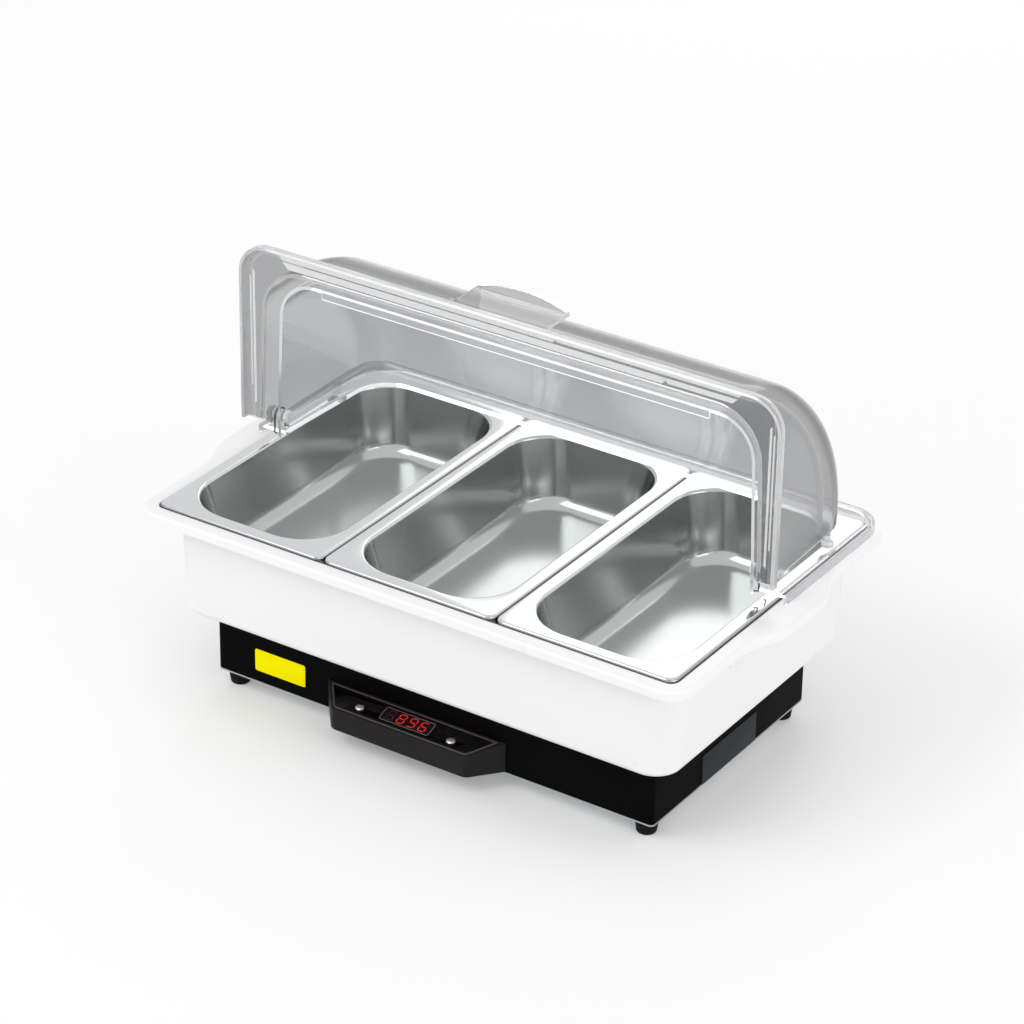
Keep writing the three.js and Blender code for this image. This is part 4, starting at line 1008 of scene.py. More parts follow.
@dataclass
class WaterTub:
    """The white tub: a drafted basin with a stepped rim that swells into a grip at each end."""

    bottom_z: float = 77.8
    half_x: float = 280.0
    half_y: float = 177.5
    height: float = 107.7
    sheet: float = 2.0
    wall_inset: float = 7.0
    draft: float = 3.5
    corner_radius: float = 28.0
    foot_corner: float = 25.0
    floor_radius: float = 9.0
    step_gap: float = 1.0
    step_fillet: float = 2.2
    rim: float = 14.0
    rim_radius: float = 22.0
    rim_edge: float = 2.5
    apron: float = 9.5
    pan_proud: float = 2.5
    bead_drop: float = 8.0
    clearance: float = 0.3
    floor_inset: float = 60.0
    floor_corner: float = 5.0
    grip_reach: float = 16.0
    grip_half: float = 80.0
    grip_flat: float = 24.0
    corner_steps: int = 20
    grip_steps: int = 48

    def swell(self, y: float) -> float:
        """How far the rim swells out at a place along the short side."""
        past = max(abs(y) - self.grip_flat, 0) / (self.grip_half - self.grip_flat)
        return self.grip_reach * 0.5 * (1 + math.cos(math.pi * min(past, 1)))

    def ring(self, inset: float, z: float, corner: float, share: float) -> Ring:
        """One level ring of the tub.

        Args:
            inset: How far the ring lies in from the rim's edge.
            z: Height over the tub's underside.
            corner: Corner radius in plan.
            share: Share of the grips' swell that it takes.

        Returns:
            The ring's points.
        """
        half_x, half_y = self.half_x - inset, self.half_y - inset
        corners = rounded_rectangle(half_x, half_y, corner, self.corner_steps)
        half, steps = len(corners) // 2, self.grip_steps
        places = [self.grip_half * (2 * step / steps - 1) for step in range(steps + 1)]
        side = [(half_x + share * self.swell(y), y) for y in places]
        left = [(-x, -y) for x, y in side]
        return at_height([*corners[:half], *left, *corners[half:], *side], self.bottom_z + z)

    def corners(self) -> list[tuple[tuple[float, ...], float]]:
        """The section's corners as (inset, height, corner radius, swell) with their fillets."""
        s, top, corner = self.sheet, self.height, self.corner_radius
        wall_top = self.rim + self.step_gap + self.wall_inset
        wall_foot = wall_top + self.draft
        ledge = top + self.pan_proud - self.bead_drop - self.clearance
        low = top - self.apron
        inner, deep = self.rim - s, wall_foot + self.floor_inset
        outer_r = self.rim_radius
        inner_r, rim_r = outer_r - inner, outer_r - self.rim
        return [
            ((deep, 0, self.floor_corner, 0), 0),
            ((wall_foot, 0, self.foot_corner, 0), self.floor_radius),
            ((wall_top, ledge - s, corner, 0), self.step_fillet),
            ((inner, ledge - s, inner_r, 0), 1.2),
            ((inner, top - s, inner_r, 0), 1.2),
            ((s, top - s, outer_r - s, 1), 1.0),
            ((s, low, outer_r - s, 1), 0.7),
            ((0, low, outer_r, 1), 0.7),
            ((0, top, outer_r, 1), self.rim_edge),
            ((self.rim, top, rim_r, 0), 1.0),
            ((self.rim, ledge, rim_r, 0), 0.9),
            ((wall_top + s, ledge, corner - s, 0), 2.0),
            ((wall_foot + s, s, self.foot_corner - s, 0), self.floor_radius - s),
            ((deep, s, self.floor_corner, 0), 0),
        ]

    def build(self) -> Obj:
        """Builds and dresses the tub.

        Returns:
            The tub, in the place of its CAD node.
        """
        rings = [self.ring(*values) for values in rounded_section(self.corners(), 6)]
        tub = dress(shade(loft("water_tub_moulding", rings), 45), "tub_white")
        return settle(tub, Body.TUB, ["water_tub"])


# Cover


@dataclass
class CoverShell:
    """One half of the clear cover, drawn closed about the hinge axis."""

    radius: float = 155.0
    half_width: float = 260.0
    fillet: float = 46.0
    sheet: float = 3.0
    taper: float = 0.04
    hinge_z: float = 211.0
    flange_half_x: float = 276.0
    flange_half_y: float = 174.5
    flange_drop: float = 16.0
    flange_corner: float = 30.0
    lip_z: float = -25.2
    lip_edge: float = 3.4
    lip_fillet: float = 0.8
    hollow_z: float = -37.2
    ridge: float = 1.1
    ridge_inset: float = 6.0
    ridge_width: float = 4.0
    ridge_slant: float = 0.6
    ridge_turn: float = 12.0
    split: float = 0.5
    bore: float = 3.3
    steps: int = 192
    fillet_steps: int = 16

    def profile(self, inset: float) -> Plan:
        """The right-hand end's profile from the axis out to the crown.

        Args:
            inset: How far the profile is drawn in.

        Returns:
            Points as (place along X, distance from the axis).
        """
        width, fillet = self.half_width - inset, self.fillet - inset
        centre_r = self.radius - inset - fillet
        centre_x = width - self.taper * centre_r - fillet * math.hypot(1, self.taper)
        start = math.atan(self.taper)
        bend = arc((centre_x, centre_r), (fillet, fillet), start, QUARTER, self.fillet_steps)
        return [(width, 0.0), *bend]

    def solid(self, name: str, inset: float, bottom: float) -> Obj:
        """The solid inside the cover's face: round about the axis, straight below it."""
        right = self.profile(inset)
        dome = revolve(name, [*[(-x, r) for x, r in right], *reversed(right)], self.steps)
        outline = [*right, *mirrored(right)]
        front = [(-x, -r) for x, r in outline][1:-1]
        return combine(dome, extrude("lower", [*outline, *front], bottom, 0), "UNION")

    def skirt(self) -> Obj:
        """The flange round the foot of the cover with its rounded edge and the lip under it."""
        drop, s, deep = self.flange_drop, self.sheet, 60
        corner, inset, slant = self.flange_corner, self.ridge_inset, self.ridge_slant
        far, turn = self.ridge_width, self.ridge_turn
        section = [
            ((deep, -drop, 4), 0),
            ((inset + far, -drop, corner - turn), slant),
            ((inset + far - slant, self.ridge - drop, corner - turn + slant), slant),
            ((inset, self.ridge - drop, corner - inset), slant),
            ((inset - slant, -drop, corner - inset + slant), slant),
            ((0, -drop, corner), self.lip_edge),
            ((0, self.lip_z, corner), self.lip_fillet),
            ((s, self.lip_z, corner - s), self.lip_fillet),
            ((s, -drop - s, corner - s), 1.2),
            ((deep, -drop - s, 4), 0),
        ]
        rings = []
        for inset, z, corner in rounded_section(section, 6):
            half_x, half_y = self.flange_half_x - inset, self.flange_half_y - inset
            rings.append(at_height(rounded_rectangle(half_x, half_y, corner, 16), z))
        return loft("skirt", rings, closed=True)

    def room(self, y0: float, y1: float, z0: float = -FAR) -> Obj:
        """A wide block for keeping a part of the cover."""
        return block("room", (-FAR_X, y0, z0), (FAR_X, y1, FAR))

    def rod(self, name: str, radius: float, steps: int) -> Obj:
        """A rod along the hinge axis, past both ends of the cover."""
        return revolve(name, [(-FAR_X, radius), (FAR_X, radius)], steps)

    def hollow(self) -> Obj:
        """The space inside the cover."""
        return self.solid("hollow", self.sheet, self.hollow_z)

    def wall(self) -> Obj:
        """The dome's wall with straight sides down to the flange."""
        bottom = -self.flange_drop - self.sheet
        outer = combine(self.solid("wall", 0, bottom), self.room(-FAR, FAR, bottom), "INTERSECT")
        return combine(outer, self.hollow(), "DIFFERENCE")

    def with_flange(self, wall: Obj, near: float, far: float) -> Obj:
        """Joins a wall to the flange between two places along Y."""
        skirt = combine(self.skirt(), self.hollow(), "DIFFERENCE")
        return combine(wall, combine(skirt, self.room(near, far), "INTERSECT"), "UNION")

    def finish_edges(self, half: Obj, finish: str, cuts: Sequence[float]) -> None:
        """Dresses a half, rounds its edges and gives them and the cut faces a paler milky finish, a
        painted highlight.

        Args:
            half: The half.
            finish: Finish of its faces.
            cuts: Places along Y of the faces where the half is cut off.
        """
        dress(half, finish, "cover_edge")
        for face in half.data.polygons:
            middle, across = face.center / MM, abs(face.normal.y) > 0.99
            if across and any(abs(middle.y - cut) < 0.3 for cut in cuts):
                face.material_index = 1
            at_rim = middle.z < self.lip_z + 1 or self.edge_depth(middle) < 1.2
            if middle.z < 1 - self.flange_drop and at_rim:
                face.material_index = 1
        shade(softened(half, 0.7, 2, 40, material=1), 35)

    def edge_depth(self, point: Vector) -> float:
        """How far a point lies in from the flange's outer edge, in mm."""
        corner = self.flange_corner
        dx = abs(point.x) - (self.flange_half_x - corner)
        dy = abs(point.y) - (self.flange_half_y - corner)
        return corner - (math.hypot(dx, dy) if dx > 0 and dy > 0 else max(dx, dy))

    def hand_over(self, half: Obj, body: Body, node: str) -> Obj:
        """Settles a half so that it neither shades the steel under it nor clouds its gloss."""
        half.visible_shadow = False
        half.visible_glossy = False
        return settle(half, body, [node])


@dataclass
class FrontHalf(CoverShell):
    """The half of the cover that rolls back, with its pull. It stands open at rest.

    The painted glint strips are given as (near, far, start, end): two places across each and two
    along it.
    """

    overlap: float = 10.0
    ear_radius: float = 10.0
    pull_width: float = 94.0
    pull_height: float = 37.0
    pull_sheet: float = 3.0
    pull_corner: float = 2.5
    pull_root: float = 0.4
    pull_lip: float = 9.5
    pull_shift: float = -5.0
    scoop: float = 12.0
    scoop_sink: float = 0.9
    line_inset: float = 0.2
    trim: float = 0.25
    long_glints: tuple[tuple[float, float, float, float], ...] = (
        (-157.2, -163.4, -226.0, 158.0),
        (-158.6, -163.4, 164.0, 226.0),
        (-164.6, -169.6, -232.0, 50.0),
        (-165.8, -169.6, 55.0, 232.0),
    )
    side_glints: tuple[tuple[float, float, float, float], ...] = (
        (262.6, 264.8, -146.0, -18.0),
        (266.4, 268.0, -140.0, -34.0),
    )

    @property
    def under(self) -> float:
        """Height of the flange's underside."""
        return -self.flange_drop - self.sheet

    def bow(self, half: float, depth: float, steps: int) -> Plan:
        """Points along a shallow bow, as (place, depth)."""
        shares = [2 * step / steps - 1 for step in range(steps + 1)]
        return [(half * share, depth * (1 - share * share)) for share in shares]

    def plate(self, name: str, outline: Plan, front: float, back: float) -> Obj:
        """An upright plate on an outline, between two places along Y."""
        return loft(name, [[(x, y, z) for x, z in outline] for y in (front, back)])

    def pull(self) -> Obj:
        """The pull: a plate off the flange's edge with a crescent lip along its far edge."""
        top, half = self.pull_height - self.flange_drop, self.pull_width / 2
        corner, front = self.pull_corner, -self.flange_half_y
        bend = arc((half - corner, top - corner), (corner, corner), 0, QUARTER, 8)
        side = [(half, self.under + self.pull_root), *bend]
        back = self.pull_sheet - self.flange_half_y
        plate = self.plate("plate", [*side, *mirrored(side)], front, back)
        middle, reach = self.pull_sheet / 2 - self.flange_half_y, half - 1
        edge = [(x, middle - depth) for x, depth in self.bow(reach, self.pull_lip, 32)]
        edge += [(reach, back - 0.2), (-reach, back - 0.2)]
        lip = extrude("lip", edge, top - self.pull_sheet, top)
        return moved(combine(plate, lip, "UNION"), place(x=self.pull_shift))

    def scallop(self) -> Obj:
        """The scoop in the plate's outer face where the fingers rest."""
        far = self.pull_height - self.flange_drop - self.pull_sheet
        reach = self.pull_width / 2 - 2
        outline = [(x, far - 0.4 - depth) for x, depth in self.bow(reach, self.scoop, 24)]
        outline += [(reach, far), (-reach, far)]
        front = -self.flange_half_y
        scoop = self.plate("scallop", outline, front - 4, front + self.scoop_sink)
        return moved(scoop, place(x=self.pull_shift))

    def wall_line(self) -> Obj:
        """A thin milky strip under the flange where the front half's wall rises from it, a painted
        highlight along the join.
        """
        low, high = self.under - self.trim, self.under + 0.05
        near, far = self.line_inset, self.sheet - self.line_inset
        rings = []
        for inset, z in ((near, low), (near, high), (far, high), (far, low)):
            right = [(x, -r) for x, r in self.profile(inset)]
            right[0] = (right[0][0], -self.ear_radius - 1)
            rings.append(at_height([*right, *mirrored(right)], z))
        return dress(shade(self.bar("wall_line", rings), 35), "cover_edge")

    def bar(self, name: str, lines: Sequence[Ring]) -> Obj:
        """A long bar between four lines of points, closed at both ends."""
        count = len(lines[0])
        faces: list[Sequence[int]] = []
        for index in range(4):
            a, b = index * count, (index + 1) % 4 * count
            faces += [(a + i, a + i + 1, b + i + 1, b + i) for i in range(count - 1)]
        for end in (0, count - 1):
            faces.append(tuple(index * count + end for index in range(4)))
        return closed_up(point_object(name, [p for line in lines for p in line], [], faces))

    def glint_strips(self) -> list[Obj]:
        """Slim milky strips under the flange with slanted ends, painted glints."""
        plans = []
        for near, far, start, end in self.long_glints:
            slant = near - far
            plans.append([(end + slant, far), (end, near), (start, near), (start - slant, far)])
        for near, far, start, end in self.side_glints:
            slant = far - near
            right = [(near, start), (far, start - slant), (far, end + slant), (near, end)]
            plans += [mirrored(right), right]
        low = self.under - self.line_inset
        glint_strips = [extrude("band", plan, low, low + self.trim) for plan in plans]
        return [dress(softened(band, 0.06, 1), "cover_band") for band in glint_strips]

    def build(self) -> Obj:
        """Builds and dresses the front half, rolled back.

        Returns:
            The front half, in the place of its CAD node.
        """
        kept = combine(self.room(-FAR, -self.split), self.room(-FAR, self.overlap, 0), "UNION")
        kept = combine(kept, self.rod("ears", self.ear_radius, LARGE_TURN), "UNION")
        wall = combine(self.wall(), kept, "INTERSECT")
        half = combine(self.with_flange(wall, -FAR, -self.split), self.pull(), "UNION")
        half = combine(half, self.scallop(), "DIFFERENCE")
        half = combine(half, self.rod("bores", self.bore, TURN), "DIFFERENCE")
        self.finish_edges(half, "cover_front", (self.overlap, -self.split))
        half = joined("front_half_shell", [half, self.wall_line(), *self.glint_strips()])
        moved(half, place(z=self.hinge_z) @ OPENED)
        return self.hand_over(half, Body.FRONT_HALF, "front_cover")


@dataclass
class RearHalf(CoverShell):
    """The half of the cover that stays on the pans, with a rib along its front edge."""

    radius: float = 141.0
    half_width: float = 248.0
    fillet: float = 38.0
    overlap: float = 8.0
    rib_depth: float = 7.0
    rib_sheet: float = 2.0
    rib_short: float = 12.0

    def rib(self) -> Obj:
        """The slim rib inside the crown, along the front edge."""
        half = self.half_width - self.fillet - self.rib_short
        top = self.radius - self.sheet + 0.5
        low = (-half, -self.overlap, top - self.rib_depth)
        return block("rib", low, (half, self.rib_sheet - self.overlap, top))

    def build(self) -> Obj:
        """Builds and dresses the rear half.

        Returns:
            The rear half, in the place of its CAD node.
        """
        wall = combine(self.wall(), self.room(-self.overlap, FAR), "INTERSECT")
        half = combine(self.with_flange(wall, self.split, FAR), self.rib(), "UNION")
        half = combine(half, self.rod("bores", self.bore, TURN), "DIFFERENCE")
        half.name = "rear_half_shell"
        self.finish_edges(half, "cover_rear", (-self.overlap,))
        moved(half, place(z=self.hinge_z))
        return self.hand_over(half, Body.REAR_HALF, "rear_cover")


# Hinges and bumpers


@dataclass
class HingeSet:
    """The clear pins, sleeves and caps of the two hinges, turned about the hinge axis."""

    hinge_z: float = 211.0
    rear_half_width: float = 248.0
    front_half_width: float = 260.0
    sheet: float = 3.0
    gap: float = 0.3
    bore: float = 3.3
    overrun: float = 3.0
    pin_radius: float = 3.0
    head_radius: float = 5.5
    head_height: float = 4.0
    dome_height: float = 1.6
    dome_flat: float = 3.2
    lobe_sink: float = 0.6
    cross_long: float = 4.2
    cross_short: float = 0.6
    sleeve_radius: float = 5.5
    cap_radius: float = 6.5
    cap_height: float = 4.0
    cap_edge: float = 1.5
    lobes: int = 8
    wire: float = 0.8
    clip_x: float = 252.5
    clip_toe: float = 3.6
    foot_z: float = 195.0
    steps: int = 64

    def clip(self, side: int, word: str) -> Obj:
        """The bent wire over the sleeve that stands on the flange with two turned-out feet."""
        around = self.sleeve_radius + self.gap + self.wire
        low, x = self.foot_z + self.gap + self.wire, side * self.clip_x
        toe = x - side * self.clip_toe
        leg = [(toe, around + 2.2, low), (x, around + 0.6, low), (x, around, low + 2)]
        over = arc((0, self.hinge_z), (around, around), math.pi, 0, 16)
        path = [*[(a, -b, c) for a, b, c in leg], *[(x, y, z) for y, z in over], *reversed(leg)]
        return wire_on_path(f"wire_clip_{word}", path, self.wire, "clip_steel")

    def on_axis(self, name: str, profile: Plan, side: int) -> Obj:
        """Turns a profile, drawn for the right-hand side, about the hinge axis."""
        outline = profile if side > 0 else mirrored(profile)
        return moved(revolve(name, outline, self.steps), place(z=self.hinge_z))

    def sleeve(self, side: int) -> Obj:
        """A tube between the walls of the two halves."""
        start = self.rear_half_width + self.gap
        end = self.front_half_width - self.sheet - self.gap
        outer, over = self.sleeve_radius, self.overrun
        body = self.on_axis("sleeve", [(start, outer), (end, outer)], side)
        hole = self.on_axis("hole", [(start - over, self.bore), (end + over, self.bore)], side)
        return combine(body, hole, "DIFFERENCE")

    def pin(self, side: int) -> Obj:
        """A pin with a low domed and lobed head that has a cross in it."""
        end = self.rear_half_width - self.sheet - self.gap
        start, head, shank = end - self.head_height, self.head_radius, self.pin_radius
        tip = self.front_half_width + self.gap + self.cap_height / 2
        radii = (self.dome_height, head - self.dome_flat)
        dome = arc((start + self.dome_height, self.dome_flat), radii, math.pi, QUARTER, 8)
        pin = self.on_axis("pin", [*dome, (end, head), (end, shank), (tip, shank)], side)
        lobe = [(start + 1.3, 0.9), (start + 1.7, 1.3), (end - 0.3, 1.3), (end, 1.0)]
        out = head - self.lobe_sink
        for y, z in arc((0, 0), (out, out), 0, 2 * math.pi, self.lobes)[:-1]:
            bump = moved(self.on_axis("lobe", lobe, side), place(y=y, z=z))
            pin = combine(pin, bump, "UNION")
        near, far = sorted((side * (start - 1), side * (start + self.dome_height / 2)))
        long, short = self.cross_long, self.cross_short
        for y, z in ((long, short), (short, long)):
            cross = block("cross", (near, -y, self.hinge_z - z), (far, y, self.hinge_z + z))
            pin = combine(pin, cross, "DIFFERENCE")
        return pin

    def cap(self, side: int) -> Obj:
        """A cap with a rounded outer edge over the pin's end."""
        start = self.front_half_width + self.gap
        edge, radius = self.cap_edge, self.cap_radius
        centre = (start + self.cap_height - edge, radius - edge)
        rounded = arc(centre, (edge, edge), QUARTER, 0, 8)
        cap = self.on_axis("cap", [(start, radius), *rounded], side)
        end = start + self.cap_height / 2 + self.gap
        bore = self.on_axis("bore", [(start - self.overrun, self.bore), (end, self.bore)], side)
        return combine(cap, bore, "DIFFERENCE")

    def build(self) -> None:
        """Builds and dresses the pins, sleeves, caps and wire clips."""
        kinds = (
            (self.sleeve, "sleeve", "hinge_clear"),
            (self.pin, "pin", "hinge_chrome"),
            (self.cap, "cap", "hinge_clear"),
        )
        for side, word in SIDES:
            for make, kind, finish in kinds:
                piece = make(side)
                piece.name = f"turned_{kind}_{word}"
                dress(shade(softened(piece, 0.25, 2), 40), finish)
                settle(piece, Body.REAR_HALF, [f"hinge_{kind}_{word}"])
            settle(self.clip(side, word), Body.REAR_HALF)


@dataclass
class BumperSet:
    """The clear round bumpers that the open half rests on."""

    hinge_z: float = 211.0
    place_x: float = 260.16
    reach: float = 96.0
    radius: float = 5.5
    height: float = 3.5
    drop: float = 16.0
    sheet: float = 3.0
    gap: float = 0.3
    stem: float = 2.0
    barb: float = 1.2

    def build(self) -> None:
        """Builds and dresses the two bumpers in the open half's place."""
        ear_high = self.drop - 2 * self.gap - self.height
        head, seat = ear_high - self.sheet - self.gap, ear_high + self.gap
        tip, stem, barb = self.drop - self.gap, self.stem, self.barb
        profile = [
            (head - barb, 0.0), (head - barb, stem), (head, stem + barb), (head, stem),
            (seat, stem), (seat, self.radius),
            *arc((tip - 1.0, self.radius - 1.0), (1.0, 1.0), QUARTER, 0, 6), (tip, 0.0),
        ]
        opened = place(z=self.hinge_z) @ OPENED
        for side, word in SIDES:
            piece = revolve(f"moulded_bumper_{word}", profile, TURN)
            shift = place(x=side * self.place_x, z=self.reach)
            moved(piece, opened @ shift @ turned(QUARTER, "Z"))
            dress(shade(piece, 40), "hinge_clear")
            settle(piece, Body.FRONT_HALF, [f"bumper_{word}"])


# Heating base


@dataclass
class HeatingCase:
    """The folded black case with the opening for the plate in its top."""

    floor_z: float = 15.0
    half_x: float = 229.0
    half_y: float = 127.0
    bottom: float = 1.8
    height: float = 62.5
    sheet: float = 1.5
    corner: float = 4.0
    fold: float = 2.2
    opening: tuple[float, float, float] = (200.0, 95.0, 10.0)
    inlet: tuple[float, float, float] = (150.0, 14.3, 10.8)
    inlet_screws: float = 20.0
    window: tuple[float, float, float, float] = (-73.5, 47.5, 19.8, 28.4)
    lugs: tuple[tuple[float, float], ...] = ((215.0, 113.0), (110.0, 113.0))
    lug: tuple[float, float, float] = (8.0, 20.5, 18.0)
    lug_sink: float = 0.5
    bore: float = 2.3

    def drill(self, start: float, end: float) -> Obj:
        """A screw's hole along the X axis."""
        return revolve("bore", [(start, self.bore), (end, self.bore)], SMALL_TURN)

    def lugs_added(self, case: Obj) -> Obj:
        """Adds the eight lugs behind the long walls that take the screws from below."""
        wide, deep, tall = self.lug
        inner, top = self.half_y - self.sheet, self.bottom + tall
        for x, y in [(a * x, b * y) for x, y in self.lugs for a in (-1, 1) for b in (-1, 1)]:
            near, far = sorted(math.copysign(v, y) for v in (inner - deep, inner + self.lug_sink))
            lug = block("lug", (x - wide, near, self.bottom), (x + wide, far, top))
            bore = moved(self.drill(self.bottom - 2, top - 2), place(x, y) @ UPRIGHT)
            case = combine(combine(case, lug, "UNION"), bore, "DIFFERENCE")
        return case

    def cut(self, case: Obj) -> Obj:
        """Cuts the openings for the inlet, its screws and the control box's leads."""
        x, half, high = self.inlet
        middle, back, front = self.height / 2, self.half_y, -self.half_y
        low = (x - half, back - 6, middle - high)
        inlet = block("cut", low, (x + half, back + 6, middle + high))
        case = combine(case, inlet, "DIFFERENCE")
        x0, x1, z0, z1 = self.window
        window = block("cut", (x0, front - 3, z0), (x1, front + 3, z1))
        case = combine(case, window, "DIFFERENCE")
        for side, _ in SIDES:
            at = place(x + side * self.inlet_screws, 0, middle)
            hole = moved(self.drill(back - 4, back + 4), at @ turned(QUARTER, "Z"))
            case = combine(case, hole, "DIFFERENCE")
        return case

    def build(self) -> Obj:
        """Builds and dresses the case.

        Returns:
            The case, in the place of its CAD node.
        """
        s, r, top, fold = self.sheet, self.corner, self.height, self.fold
        half_x, half_y = self.half_x, self.half_y
        bend = arc((fold, top - fold), (fold, fold), math.pi, QUARTER, 6)
        stations = [(half_x, half_y, r, self.bottom)]
        stations += [(half_x - inset, half_y - inset, r, z) for inset, z in bend]
        stations += [
            (*self.opening, top),
            (*self.opening, top - s),
            (half_x - s, half_y - s, r - s, top - s),
            (half_x - s, half_y - s, r - s, self.bottom),
        ]
        rings = [at_height(rounded_rectangle(x, y, r, 10), z) for x, y, r, z in stations]
        case = self.cut(self.lugs_added(loft("folded_case", rings, closed=True)))
        moved(dress(shade(case, 35), "base_black"), place(z=self.floor_z))
        return settle(case, Body.BASE, ["base_shell"])


@dataclass
class StuckPlates:
    """The plain yellow sticker on the front and the plain grey label on the right side.

    Each is given as its middle along the wall, its middle height, its width and its height.
    """

    sticker: tuple[float, float, float, float] = (-159.5, 39.0, 55.0, 22.0)
    label: tuple[float, float, float, float] = (-3.0, 31.0, 90.0, 29.0)
    front_y: float = -127.3
    side_x: float = 229.3
    sheet: float = 0.4
    corner: float = 2.0

    def build(self) -> None:
        """Builds and dresses both plates."""
        x, z, width, height = self.sticker
        plan = rounded_rectangle(width / 2, height / 2, self.corner, 8)
        depths = (self.front_y - self.sheet, self.front_y)
        sticker = loft("yellow_sticker", [[(x + a, y, z + b) for a, b in plan] for y in depths])
        y, z, width, height = self.label
        plan = rounded_rectangle(width / 2, height / 2, self.corner / 2, 8)
        depths = (self.side_x, self.side_x + self.sheet)
        label = loft("grey_label", [[(x, y + a, z + b) for a, b in plan] for x in depths])
        for piece, node, finish in (
            (sticker, "blank_sticker", "sticker_yellow"),
            (label, "blank_label", "label_grey"),
        ):
            dress(shade(softened(piece, 0.12, 2), 40), finish)
            settle(piece, Body.BASE, [node])


# Feet and screws


@dataclass
class FixingSet:
    """The rubber feet and the screws under the base and at the inlet."""

    feet: tuple[float, float] = (215.0, 113.0)
    screws: tuple[float, float] = (110.0, 113.0)
    inlet_y: float = 130.1
    inlet_z: float = 46.25
    foot_screw_z: float = 5.7
    bottom_screw_z: float = 14.7
    foot_height: float = 14.7
    foot_top: float = 11.0
    foot_bottom: float = 9.0
    bore_radius: float = 5.0
    bore_depth: float = 6.0
    hole: float = 2.3
    shank: float = 2.0
    thread_depth: float = 0.35
    pitch: float = 0.8
    head_radius: float = 3.8
    head_height: float = 2.5
    cross: tuple[float, float, float] = (2.0, 0.4, 0.9)
    corners: tuple[str, ...] = ("front_left", "front_right", "rear_left", "rear_right")

    def around(self, half: tuple[float, float], z: float) -> Ring:
        """The four places at a half width and a half depth, in the order of the corners."""
        return [(a * half[0], b * half[1], z) for b in (-1, 1) for a in (-1, 1)]

    def upright(self, name: str, profile: Plan, steps: int) -> Obj:
        """Turns a profile of (height, radius) points about the Z axis."""
        return moved(revolve(name, profile, steps), UPRIGHT)

    def foot(self) -> Obj:
        """A rubber foot with soft edges and a bore for its screw."""
        top, r0, r1 = self.foot_height, self.foot_bottom, self.foot_top
        profile = [(0.0, r0 - 2.0), (0.25, r0 - 1.1), (0.9, r0 - 0.35), (1.8, r0)]
        profile += [(top - 3.2, r1 - 0.7), (top - 2.6, r1), (top - 0.4, r1), (top, r1 - 0.4)]
        foot, wide = self.upright("foot", profile, TURN), self.bore_radius
        bore = self.upright("bore", [(-2, wide), (self.bore_depth, wide)], 32)
        hole = self.upright("hole", [(2, self.hole), (top + 2, self.hole)], SMALL_TURN)
        return shade(combine(foot, combine(bore, hole, "UNION"), "DIFFERENCE"), 40)

    def screw(self, length: float) -> Obj:
        """A pan-head screw that points up, with a cross in its head and a ringed shank."""
        r, h, shank, root = self.head_radius, self.head_height, self.shank, self.thread_depth
        profile = [(-h, 1.6), (-h + 0.25, 2.6), (-h + 0.8, 3.4), (-h + 1.5, r), (-0.1, r)]
        profile.append((0.0, r - 0.15))
        z = 0.05
        while z < length - 1.0:
            profile += [(z, shank - root), (z + root, shank), (z + root + 0.1, shank)]
            z += self.pitch
        profile += [(length - self.pitch, shank - root), (length, 0.9)]
        screw = self.upright("screw", profile, SMALL_TURN)
        long, short, deep = self.cross
        for x, y in ((long, short), (short, long)):
            cut = block("cross", (-x, -y, -h - 1), (x, y, -h + deep))
            screw = combine(screw, cut, "DIFFERENCE")
        return shade(screw, 40)

    def build(self) -> None:
        """Builds and dresses the feet and the screws."""
        feet = copies("rubber_feet", self.foot(), self.around(self.feet, 0), "foot_rubber")
        settle(feet, Body.BASE, [f"foot_{n}" for n in self.corners])
        under_foot = self.around(self.feet, self.foot_screw_z)
        under_plate = self.around(self.screws, self.bottom_screw_z)
        inlet_x = HeatingCase.inlet[0]
        reach = HeatingCase.inlet_screws
        at_inlet = [(inlet_x + side * reach, self.inlet_y, self.inlet_z) for side, _ in SIDES]
        foot_nodes = [f"foot_screw_{n}" for n in self.corners]
        bottom_nodes = [f"bottom_screw_{n}" for n in self.corners]
        inlet_nodes = [f"inlet_screw_{word}" for _, word in SIDES]
        for name, length, points, nodes, turn in (
            ("foot_screws", 18, under_foot, foot_nodes, 0),
            ("bottom_screws", 16, under_plate, bottom_nodes, 0),
            ("inlet_screws", 8, at_inlet, inlet_nodes, QUARTER),
        ):
            screws = copies(name, self.screw(length), points, "screw_steel", (turn, 0, 0))
            settle(screws, Body.BASE, nodes)


# Control box


